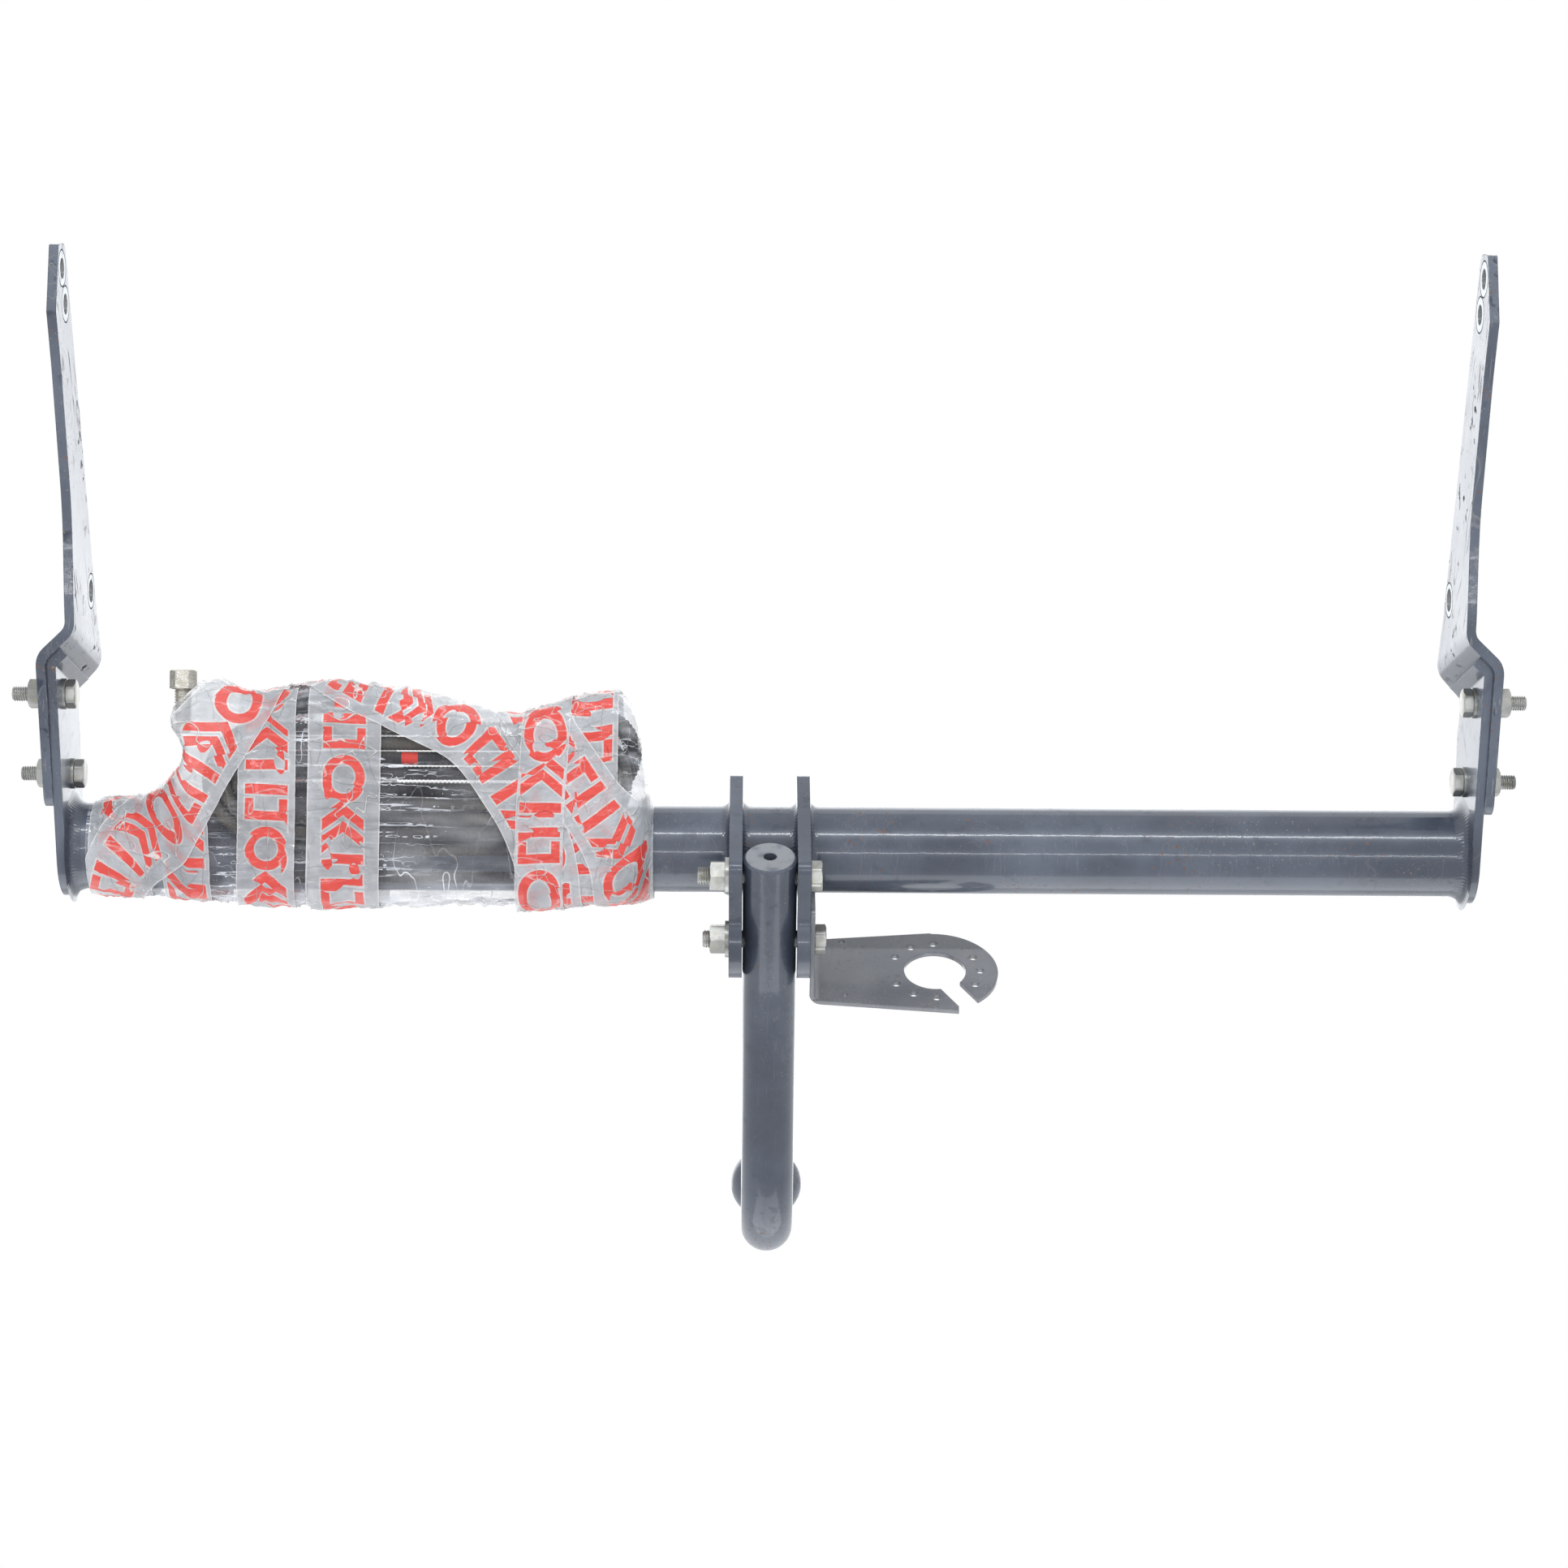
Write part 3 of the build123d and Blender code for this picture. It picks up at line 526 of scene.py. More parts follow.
def dress(names, material):
    """Gives CAD nodes a material in place of their own."""
    for name in names:
        piece = nodes[name]
        if not piece.material_slots:
            piece.data.materials.append(material)
        for slot in piece.material_slots:
            slot.material = material


def linked(name, data):
    """A new object in the scene."""
    piece = bpy.data.objects.new(name, data)
    bpy.context.scene.collection.objects.link(piece)
    return piece


def placed(name, mesh, replaced):
    """Makes a mesh a piece of the towbar's body that stands for a CAD node."""
    mesh.name = name
    piece = linked(name, mesh)
    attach(piece, "towbar")
    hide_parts(replaced)
    return piece


def baked(source, geometry_tree, values):
    """Runs a geometry tree on a source object and removes it. Returns the result as a plain mesh."""
    modifier = source.modifiers.new("build", "NODES")
    modifier.node_group = geometry_tree
    for item in geometry_tree.interface.items_tree:
        if item.in_out == "INPUT" and item.name in values:
            modifier[item.identifier] = values[item.name]
    bpy.context.view_layer.update()
    graph = bpy.context.evaluated_depsgraph_get()
    mesh = bpy.data.meshes.new_from_object(source.evaluated_get(graph))
    bpy.data.objects.remove(source)
    return mesh


def smooth_but_sharp(mesh, angle):
    mesh.shade_smooth()
    mesh.set_sharp_from_angle(angle=angle)


def new_tree(name, **sockets):
    """A new geometry tree with the given inputs. Returns it and its inputs by name."""
    group = bpy.data.node_groups.new(name, "GeometryNodeTree")
    for label, kind in {"Geometry": "Geometry", **sockets}.items():
        group.interface.new_socket(label, in_out="INPUT", socket_type=f"NodeSocket{kind}")
    group.interface.new_socket("Geometry", in_out="OUTPUT", socket_type="NodeSocketGeometry")
    tree = Tree(group)
    return tree, {output.name: Value(tree, output) for output in group.nodes.new("NodeGroupInput").outputs}


def finished(tree, geometry, material):
    """Ends a geometry tree in real geometry with one material."""
    real = tree.add("GeometryNodeRealizeInstances", {0: geometry})
    coated = tree.add("GeometryNodeSetMaterial", {"Geometry": real, "Material": material})
    tree.fill(tree.tree.nodes.new("NodeGroupOutput"), {0: coated})
    return tree.tree


def unit_sheet(tree, columns, rows):
    """A flat grid, and how far each of its points is along its two sides, from 0 to 1."""
    values = {"Size X": 1.0, "Size Y": 1.0, "Vertices X": columns, "Vertices Y": rows}
    sheet = tree.add("GeometryNodeMeshGrid", values)
    x, y = tree.parts(tree.add("GeometryNodeInputPosition"))[:2]
    return sheet, x + 0.5, y + 0.5


def screw_tree():
    """Screws on the source's points, each with a head along the point's axis and a threaded shank."""
    tree, given = new_tree(
        "screws", Diameter="Float", Pitch="Float", Length="Float", Head="Object", Columns="Int",
        Material="Material")
    radius = given["Diameter"] * 0.5
    depth = given["Pitch"] * 0.55
    end_r = radius - depth * 1.3
    rows_per_turn = 6.0
    sheet, turn, share = unit_sheet(tree, given["Columns"], given["Length"] / given["Pitch"] * rows_per_turn)
    along = share * given["Length"]
    thread_r = radius - tree.triangle_wave(along / given["Pitch"] + turn) * depth
    shank_r = tree.math("MINIMUM", thread_r, end_r + (given["Length"] - along))
    angle = turn * (2 * pi)
    place = tree.point(
        tree.math("COSINE", angle) * shank_r, tree.math("SINE", angle) * shank_r, along * -1.0)
    shank = tree.add("GeometryNodeSetPosition", {"Geometry": sheet, "Position": place})
    circle = {"Vertices": given["Columns"] - 1.0, "Radius": end_r}
    end = tree.add("GeometryNodeMeshCircle", circle, fill_type="NGON")
    down = tree.point(0.0, 0.0, given["Length"] * -1.0)
    over = (pi, 0.0, 0.0)
    tip = tree.add("GeometryNodeTransform", {"Geometry": end, "Translation": down, "Rotation": over})
    head = tree.add("GeometryNodeObjectInfo", {"Object": given["Head"]}, "Geometry")
    joined = tree.tree.nodes.new("GeometryNodeJoinGeometry")
    for piece in (shank, tip, head):
        tree.put(joined.inputs[0], piece)
    axis = tree.add("GeometryNodeInputNamedAttribute", {"Name": "axis"}, data_type="FLOAT_VECTOR")
    turned = tree.add("FunctionNodeAlignRotationToVector", {"Vector": axis}, axis="Z")
    screws = tree.add("GeometryNodeInstanceOnPoints", {
        "Points": given["Geometry"], "Instance": Value(tree, joined.outputs[0]), "Rotation": turned})
    return finished(tree, screws, given["Material"])


def hexagon_head(across, height):
    """A hexagon head over z = 0 with a washer face, its outer corners turned off by a 30 degree cone."""
    sides = 48
    washer_face = 0.4 * mm
    flat_r = 0.94 * across / 2
    top_r = 0.95 * across / 2
    work = bmesh.new()
    rings = [[] for ring in range(5)]
    for index in range(sides):
        turn = 2 * pi * (index + 0.5) / sides
        hexagon_r = across / 2 / cos(turn % (pi / 3) - pi / 6)
        shoulder = height - max(0.0, hexagon_r - top_r) * tan(radians(30))
        outline = ((flat_r, 0.0), (flat_r, washer_face), (hexagon_r, washer_face), (hexagon_r, shoulder),
                   (top_r, height))
        for ring, (radius, level) in zip(rings, outline):
            ring.append(work.verts.new((radius * cos(turn), radius * sin(turn), level)))
    for low, high in zip(rings, rings[1:]):
        for index in range(sides):
            after = (index + 1) % sides
            work.faces.new((low[index], low[after], high[after], high[index]))
    work.faces.new(reversed(rings[0]))
    work.faces.new(rings[-1])
    mesh = bpy.data.meshes.new("head")
    work.to_mesh(mesh)
    work.free()
    smooth_but_sharp(mesh, radians(25))
    return linked("head", mesh)


def screws_on(name, places, way, across, head_height, diameter, pitch, length, material, replaced):
    """Screws at places under their heads. The way is the one from the shank to the head."""
    points = bpy.data.meshes.new("points")
    points.from_pydata(places, [], [])
    axes = points.attributes.new("axis", "FLOAT_VECTOR", "POINT")
    for axis in axes.data:
        axis.vector = way
    head = hexagon_head(across, head_height)
    columns = 25
    values = {"Diameter": diameter, "Pitch": pitch, "Length": length, "Head": head, "Columns": columns,
              "Material": material}
    mesh = baked(linked("points", points), screw_tree(), values)
    bpy.data.objects.remove(head)
    smooth_but_sharp(mesh, radians(35))
    placed(name, mesh, replaced)


def weld_tree():
    """A rippled fillet bead round a tube. The grid's columns go round it, and its rows across the bead."""
    tree, given = new_tree(
        "weld", Root="Float", Leg="Float", Ripples="Int", Ripple="Float", Toe="Float", Way="Float",
        Material="Material")
    columns_per_ripple = 6.0
    rows = 12
    sheet, turn, across = unit_sheet(tree, given["Ripples"] * columns_per_ripple + 1.0, rows)
    bow = tree.math("SINE", across * pi)
    sag = bow * 0.24 * given["Leg"]
    uneven = tree.noise(tree.add("GeometryNodeInputPosition"), 40.0, 1.0) + 0.5
    ripple = tree.triangle_wave(turn * given["Ripples"] - bow * 0.9) * given["Ripple"] * bow * uneven
    radius = given["Root"] + ((1.0 - across) * given["Leg"] - sag) + ripple
    out = across * given["Leg"] - sag + ripple
    angle = turn * (2 * pi)
    place = tree.point(
        given["Toe"] + out * given["Way"],
        tree.math("COSINE", angle) * radius + tube_centre.y,
        tree.math("SINE", angle) * radius + tube_centre.z,
    )
    bead = tree.add("GeometryNodeSetPosition", {"Geometry": sheet, "Position": place})
    return finished(tree, bead, given["Material"])


def point_outwards(mesh, centre):
    """Merges a mesh's doubles, and turns its faces if they look to the line along X through a centre."""
    work = bmesh.new()
    work.from_mesh(mesh)
    bmesh.ops.remove_doubles(work, verts=work.verts, dist=1e-6)
    inwards = 0.0
    for face in work.faces:
        to_line = (centre - face.calc_center_median()).yz
        inwards += face.normal.yz.dot(to_line) * face.calc_area()
    if inwards > 0:
        bmesh.ops.reverse_faces(work, faces=work.faces)
    work.to_mesh(mesh)
    work.free()


def conduit_tree():
    """A ribbed conduit along the source curve."""
    tree, given = new_tree("conduit", Radius="Float", Pitch="Float", Depth="Float", Material="Material")
    steps_per_rib = 4
    fine = tree.add("GeometryNodeResampleCurve", {
        "Curve": given["Geometry"], "Length": given["Pitch"] / steps_per_rib}, mode="LENGTH")
    gone = tree.add("GeometryNodeSplineParameter", output="Length")
    groove = tree.ramp(tree.triangle_wave(gone / given["Pitch"]), 0.2, 0.8)
    radius = (given["Radius"] - groove * given["Depth"]) * tree.add("GeometryNodeInputRadius")
    ribbed = tree.add("GeometryNodeSetCurveRadius", {"Curve": fine, "Radius": radius})
    profile = tree.add("GeometryNodeCurvePrimitiveCircle", {"Resolution": 10, "Radius": 1.0})
    size = tree.add("GeometryNodeInputRadius")
    tube = tree.add("GeometryNodeCurveToMesh", {
        "Curve": ribbed, "Profile Curve": profile, "Scale": size, "Fill Caps": True})
    return finished(tree, tube, given["Material"])


# Wrapped kit, in millimetres. Its frame leans: up the bundle and out of its front.
kit_lean = radians(33.0)
kit_up = Vector((0, cos(kit_lean), sin(kit_lean)))
kit_front = Vector((0, sin(kit_lean), -cos(kit_lean)))
wrap_back = 30.0
# Stations of the film: place along the tube, top, bottom, front and corner radius
wrap_stations = (
    (445.0, 29.9, 29.6, 29.9, 29.8),
    (434.0, 30.2, 29.6, 30.1, 29.4),
    (416.0, 31.2, 29.8, 31.5, 27.0),
    (402.0, 35.5, 30.0, 35.0, 23.0),
    (391.0, 44.0, 30.3, 40.0, 19.0),
    (382.0, 56.0, 30.8, 45.0, 15.0),
    (377.5, 74.0, 31.2, 47.5, 13.5),
    (375.0, 88.0, 31.4, 48.2, 13.0),
    (367.0, 100.0, 31.6, 48.5, 13.0),
    (361.5, 105.5, 31.8, 48.6, 13.0),
    (356.0, 105.5, 32.0, 48.8, 13.0),
    (349.0, 101.0, 32.0, 48.9, 13.0),
    (340.0, 97.5, 32.2, 49.0, 13.0),
    (325.0, 98.5, 32.5, 49.0, 13.5),
    (302.0, 102.5, 33.0, 49.0, 14.0),
    (275.0, 103.5, 33.3, 49.0, 15.0),
    (248.0, 101.0, 33.5, 49.0, 14.0),
    (215.0, 93.5, 33.5, 48.8, 13.0),
    (185.0, 86.5, 33.0, 48.5, 13.0),
    (160.0, 84.5, 33.0, 48.5, 13.0),
    (137.0, 90.0, 32.5, 48.5, 13.0),
    (118.0, 97.0, 32.0, 48.8, 13.0),
    (100.0, 98.5, 31.5, 48.5, 14.0),
    (91.0, 92.0, 31.0, 46.5, 16.0),
    (84.0, 72.0, 30.7, 42.0, 20.0),
    (79.0, 43.0, 30.3, 34.0, 26.0),
    (75.0, 30.2, 29.8, 30.2, 30.0),
)
wrap_left, wrap_right = wrap_stations[0][0], wrap_stations[-1][0]
# How far the film's upper left corner bulges round the spare screw
screw_bulge = 12.0
# Distance between the film's rows of points, and points in a row
wrap_step = 1.5
wrap_round = 200


def kit_point(x, up, front):
    return tube_centre + (Vector((x, 0, 0)) + kit_up * up + kit_front * front) * mm


def wrap_values(x):
    """Top, bottom, front and corner radius of the film at a place along the tube, without overshoot."""
    last = len(wrap_stations) - 1
    index = next(number for number in range(last) if x >= wrap_stations[number + 1][0])
    before, left, right, after = (wrap_stations[min(max(index + step, 0), last)] for step in (-1, 0, 1, 2))
    span = left[0] - right[0]
    share = (left[0] - x) / span

    def slope(one, two, three, column):
        first = (two[column] - one[column]) / max(one[0] - two[0], 1e-6)
        second = (three[column] - two[column]) / max(two[0] - three[0], 1e-6)
        return 0.0 if first * second <= 0 else 2 * first * second / (first + second)

    values = []
    for column in (1, 2, 3, 4):
        start = slope(before, left, right, column) * span
        end = slope(left, right, after, column) * span
        square, cubic = share**2, share**3
        values.append((2 * cubic - 3 * square + 1) * left[column] + (cubic - 2 * square + share) * start
                      + (3 * square - 2 * cubic) * right[column] + (cubic - square) * end)
    return values


def wrap_ring(x):
    """Points (up, front) spaced evenly round the film's section, and the length of the way round.

    They start at the middle of the back and go under the tube first.
    """
    top, bottom, front, corner = wrap_values(x)
    corner = min(corner, bottom, (front + wrap_back) / 2)
    low, high = corner - bottom, top - corner
    back, out = corner - wrap_back, front - corner
    outline = [(0.0, -wrap_back)]
    for quarter, (up, forward) in enumerate(((low, back), (low, out), (high, out), (high, back))):
        for part in range(11):
            turn = radians(-90 - 90 * quarter - 9 * part)
            outline.append((up + corner * cos(turn), forward + corner * sin(turn)))
    outline.append(outline[0])
    gone = [0.0]
    for one, two in zip(outline, outline[1:]):
        gone.append(gone[-1] + hypot(two[0] - one[0], two[1] - one[1]))
    ring = []
    piece = 0
    for index in range(wrap_round):
        target = gone[-1] * index / wrap_round
        while gone[piece + 1] < target:
            piece += 1
        share = (target - gone[piece]) / max(gone[piece + 1] - gone[piece], 1e-9)
        ring.append(tuple(one + (two - one) * share for one, two in zip(outline[piece], outline[piece + 1])))
    return ring, gone[-1]


def smooth_step(value, low, high):
    """0 under low and 1 over high, smooth between them."""
    share = min(max((value - low) / (high - low), 0.0), 1.0)
    return share * share * (3 - 2 * share)


def ridge(width, *place):
    """1 on the lines at which a noise passes its middle, falling to 0 beside them."""
    return max(1 - abs(noise.noise(place)) * width, 0.0)


def crinkle(x, along, up):
    """How far the film stands out of its plain form, in millimetres, from its folds and tension ridges."""
    ends = smooth_step(min(x - wrap_right, wrap_left - x), 0.0, 12.0)
    broad = noise.noise((x / 42, along / 26, 3.1)) * 1.5
    lean = 0.35 if x < 200 else -0.25
    ridges = ridge(2.6, x / 58 + lean * along / 20, along / 5.2, 7.7) ** 3 * 1.5
    crossed = ridge(3.2, x / 7.5 + along / 30, along / 34, 1.9) ** 3 * 1.1
    below = smooth_step(-up, 18.0, 32.0) * smooth_step(x, 105.0, 170.0) * (1 - smooth_step(x, 350.0, 400.0))
    above = smooth_step(up, 72.0, 92.0) * 0.45
    crumple = (below + above) * (1.0 + 3.6 * noise.noise((x / 12, along / 8, 5.3)))
    return ends * (0.5 + broad + ridges + crossed + max(crumple, -1.5))


class Wrap:
    """The film's surface as rows of points, read at a place along the tube and a share of the way round."""

    def __init__(self):
        self.count = int((wrap_left - wrap_right) / wrap_step) + 1
        self.points = []
        self.outs = []
        self.lengths = []
        for row in range(self.count):
            self.add_row(wrap_left - row * wrap_step)

    def add_row(self, x):
        """Adds the points at a place along the tube, and the ways out of the film at them."""
        ring, length = wrap_ring(x)
        points, outs = [], []
        for index, (up, front) in enumerate(ring):
            before, after = Vector(ring[index - 1]), Vector(ring[(index + 1) % wrap_round])
            tangent = (after - before).normalized()
            out_up, out_front = -tangent.y, tangent.x
            height = crinkle(x, length * index / wrap_round, up)
            pushed = x + screw_bulge * smooth_step(up, 62.0, 80.0) * smooth_step(x, 350.0, 375.0)
            points.append(kit_point(pushed, up + out_up * height, front + out_front * height))
            outs.append((kit_up * out_up + kit_front * out_front).normalized())
        self.points.append(points)
        self.outs.append(outs)
        self.lengths.append(length)

    def row_at(self, x):
        """The row before a place along the tube, and how far the place is to the next one."""
        row = min(max((wrap_left - x) / wrap_step, 0.0), self.count - 1.001)
        return int(row), row - int(row)

    def at(self, x, share, out):
        """A point on the film, out millimetres off it."""
        row, past_row = self.row_at(x)
        column = int((share % 1.0) * wrap_round)
        past_column = (share % 1.0) * wrap_round - column
        point, normal = Vector(), Vector()
        for down, row_weight in ((0, 1 - past_row), (1, past_row)):
            for aside, column_weight in ((0, 1 - past_column), (1, past_column)):
                index = (column + aside) % wrap_round
                point += self.points[row + down][index] * (row_weight * column_weight)
                normal += self.outs[row + down][index] * (row_weight * column_weight)
        return point + normal.normalized() * (out * mm)

    def length_at(self, x):
        row, past_row = self.row_at(x)
        return self.lengths[row] * (1 - past_row) + self.lengths[row + 1] * past_row

    def share_at(self, x, up):
        """The share of the way round at which the film's front is at a height."""
        ring = wrap_ring(wrap_left - self.row_at(x)[0] * wrap_step)[0]
        fronts = [(abs(point[0] - up), index) for index, point in enumerate(ring) if point[1] > 0]
        return min(fronts)[1] / wrap_round


def grid_faces(rows, columns, first=0):
    """The faces between rows of points, of which the first has a given number."""
    corners = (first + row * columns + column for row in range(rows - 1) for column in range(columns - 1))
    return [(corner, corner + 1, corner + columns + 1, corner + columns) for corner in corners]


def film_mesh(wrap):
    """The film as one sheet, wound once round, whose end overlaps its start at the back."""
    overlap = 8
    overlap_lift = 0.4 * mm
    columns = wrap_round + overlap + 1
    vertices = []
    for row in range(wrap.count):
        for column in range(columns):
            lift = overlap_lift * smooth_step(column, wrap_round - overlap, wrap_round)
            index = column % wrap_round
            vertices.append(wrap.points[row][index] + wrap.outs[row][index] * lift)
    mesh = bpy.data.meshes.new("film")
    mesh.from_pydata(vertices, [], grid_faces(wrap.count, columns))
    return mesh


# Tape strips that stand for each CAD band: stops, width, layer and start of the print.
# A stop is a place along the tube with a height up the front, or with a share of the way round the bundle.
tape_strips = {
    "kit_tape_sleeve": (
        ((("round", 424, -0.03), ("round", 421, 1.0)), 41.0, 0, 0.030),
        ((("round", 372, 0.02), ("round", 374, 0.10), ("up", 378, -4), ("up", 381, 36)), 33.0, 1, 0.0),
        ((("round", 436, 0.20), ("up", 424, -14), ("up", 398, 16), ("up", 368, 50), ("up", 346, 88),
          ("round", 334, 0.62), ("round", 326, 0.80)), 42.0, 2, 0.055),
    ),
    "kit_tape_one": (
        ((("round", 326, -0.03), ("round", 323, 1.0)), 37.0, 1, 0.018),
    ),
    "kit_tape_two": (
        ((("round", 277, -0.03), ("round", 272, 1.02)), 47.0, 2, 0.075),
    ),
    "kit_tape_three": (
        ((("round", 322, 0.78), ("round", 290, 0.63), ("up", 240, 96), ("up", 195, 74), ("up", 167, 38),
          ("up", 151, 10), ("up", 143, -20), ("round", 138, 0.13), ("round", 132, -0.02)), 40.0, 3, 0.0),
    ),
    "kit_tape_four": (
        ((("round", 148, -0.03), ("up", 149, 0), ("up", 146, 60), ("round", 143, 0.66), ("round", 142, 1.0)),
         31.0, 4, 0.045),
    ),
    "kit_tape_five": (
        ((("round", 117, -0.03), ("round", 114, 1.02)), 34.0, 2, 0.085),
        ((("round", 160, 0.62), ("up", 150, 78), ("up", 124, 42), ("up", 101, 6), ("up", 93, -22),
          ("round", 92, 0.12), ("round", 95, -0.02)), 42.0, 3, 0.020),
    ),
}
# Columns of a strip, and the length of its steps round the bundle and along it
strip_columns = 18
strip_step_round, strip_step_along = 1.3, 1.4
# Gap between film and tape, and the rise from layer to layer
strip_gap, strip_layer = 0.5, 0.95


def between(before, one, two, after, share):
    """A point between one and two on the smooth curve through four points."""
    return tuple(
        0.5 * (2 * b + (c - a) * share + (2 * a - 5 * b + 4 * c - d) * share**2
               + (3 * b - a - 3 * c + d) * share**3)
        for a, b, c, d in zip(before, one, two, after))


def strip_line(wrap, stops):
    """The middle line of a strip, as places along the tube and distances round the film."""
    turns = []
    for kind, x, value in stops:
        share = value if kind == "round" else wrap.share_at(x, value)
        turns.append((float(x), share * wrap.length_at(x)))
    line = []
    for before, one, two, after in zip([turns[0]] + turns, turns, turns[1:], turns[2:] + [turns[-1]]):
        parts_round = int(abs(two[1] - one[1]) / strip_step_round)
        parts_along = int(abs(two[0] - one[0]) / strip_step_along)
        parts = max(parts_round, parts_along, 2)
        line += [between(before, one, two, after, part / parts) for part in range(parts)]
    return line + [turns[-1]]


def strip_points(wrap, line, width, layer, start, seed):
    """A strip's points on the film, and for each its way along the tape, off its middle and to its edge."""
    vertices, flats = [], []
    gone = start
    for index, (x, way_round) in enumerate(line):
        before, after = line[max(index - 1, 0)], line[min(index + 1, len(line) - 1)]
        run, climb = after[0] - before[0], after[1] - before[1]
        size = max(hypot(run, climb), 1e-6)
        if index:
            gone += hypot(x - before[0], way_round - before[1]) * mm
        for column in range(strip_columns + 1):
            off = (column / strip_columns - 0.5) * width
            to_x = min(max(x + climb / size * off, wrap_right + 0.5), wrap_left - 0.5)
            to_share = (way_round - run / size * off) / wrap.length_at(to_x)
            edge = abs(off) * 2 / width
            loose = max(noise.noise((gone * 90, off / 14, seed)), 0) * (0.35 + 0.5 * edge**2)
            fold = ridge(5.0, gone * 95 + off / 26, off / 60, seed + 4.0) ** 2
            fold *= 0.5 + noise.noise((gone * 20, off / 20, seed))
            lift = strip_gap + strip_layer * layer + loose + 0.7 * max(fold, 0.0)
            vertices.append(wrap.at(to_x, to_share, lift))
            flats.append((gone, off * mm, edge))
    return vertices, flats


def tape_mesh(name, wrap, strips):
    """All strips of one band in one mesh, with flat coordinates in metres along and across them."""
    vertices, faces, flats = [], [], []
    for number, (stops, width, layer, start) in enumerate(strips):
        line = strip_line(wrap, stops)
        faces += grid_faces(len(line), strip_columns + 1, len(vertices))
        points, places = strip_points(wrap, line, width, layer, start, 11.3 * number + len(name))
        vertices += points
        flats += places
    mesh = bpy.data.meshes.new(name)
    mesh.from_pydata(vertices, [], faces)
    layer = mesh.uv_layers.new(name="tape")
    for loop in mesh.loops:
        layer.data[loop.index].uv = flats[loop.vertex_index][:2]
    edges = mesh.attributes.new("edge", "FLOAT", "POINT")
    edges.data.foreach_set("value", [flat[2] for flat in flats])
    return mesh


# The loom's hank, in millimetres
loom_d = 9.0
loom_pitch = 9.6
loom_turns = 3
loom_inner_bend = 10.1
loom_up = 41.0
loom_front = 33.5
loom_left, loom_right = 370.0, 87.0
# The loom's thick end lies behind the hank: radius against the conduit's, runs, front and right turn
tail_share = 1.35
tail_low = 37.0
tail_front = 14.0
tail_bend = 25.0
tail_left, tail_right = 325.0, 115.0
# Gap between it and the film's plain form, and the length in which it rises to that from its bend
tail_under_film = 3.5
tail_settles = 26.25
# The loom's loose end before the tube: upper run, bend, how its front place falls with its height, ends
loose_top, loose_bend = -0.4, 9.2
loose_front, loose_sink = 34.5, -0.12
loose_left, loose_right = 322.0, 128.0
# The marker on a run of the hank
marker_x, marker_up = 233.0, 58.3
marker_half_width, marker_half_height = 5.3, 3.9


def evenly(start, end, parts):
    """Numbers evenly from start to end."""
    return [start + (end - start) * part / parts for part in range(parts + 1)]


def half_turn(parts):
    """Sine and cosine at the steps of a half turn, without its ends."""
    return [(sin(pi * part / parts), cos(pi * part / parts)) for part in range(1, parts)]


def loom_points():
    """The loom's route: runs side by side, round at each end, in two layers."""
    last_run = 2 * loom_turns
    half_width = loom_inner_bend + (2 * last_run - 1) * loom_pitch / 4
    run_half = (loom_left - loom_right) / 2 - half_width - loom_d / 2
    middle = (loom_left + loom_right) / 2

    def side_of(step):
        run = min(step, 2 * last_run - step)
        away = half_width - run * loom_pitch / 2
        return away if run % 2 == 0 else -away

    route = []
    for step in range(2 * last_run + 1):
        way = 1 if step % 2 == 0 else -1
        side = side_of(step)
        low = 0.0 if step <= last_run else loom_pitch
        high = 0.0 if step < last_run else loom_pitch
        for share in evenly(0.0, 1.0, 12):
            rise = low + (high - low) * smooth_step(share, 0.0, 1.0)
            route.append((way * run_half * (2 * share - 1), side, rise))
        if step < 2 * last_run:
            after = side_of(step + 1)
            radius, centre = (side - after) / 2, (side + after) / 2
            for sine, cosine in half_turn(16):
                route.append((way * (run_half + abs(radius) * sine), centre + radius * cosine, high))
    return [kit_point(middle - along, loom_up + side, loom_front + out) for along, side, out in route]


def tail_points():
    """The thick end's route: low along the hank, round at the right end and back under the film's top."""
    route = [(x, tail_low) for x in evenly(tail_left, tail_right, 24)]
    for sine, cosine in half_turn(16):
        route.append((tail_right - tail_bend * sine, tail_low + tail_bend * (1 - cosine)))
    for x in evenly(tail_right, tail_left, 48):
        under_film = wrap_values(x)[0] - tail_share * loom_d / 2 - tail_under_film
        settle = smooth_step(x - tail_right, 0.0, tail_settles)
        route.append((x, (tail_low + 2 * tail_bend) * (1 - settle) + under_film * settle))
    return [kit_point(x, up, tail_front) for x, up in route]


def loose_points():
    """The route of the loom's loose end, which lies before the tube: out and back under the hank."""
    route = [(x, loose_top) for x in evenly(loose_left, loose_right, 24)]
    for sine, cosine in half_turn(12):
        route.append((loose_right - loose_bend * sine, loose_top - loose_bend * (1 - cosine)))
    route += [(x, loose_top - 2 * loose_bend) for x in evenly(loose_right, loose_left, 24)]
    return [kit_point(x, up, loose_front + (loose_top - up) * loose_sink) for x, up in route]


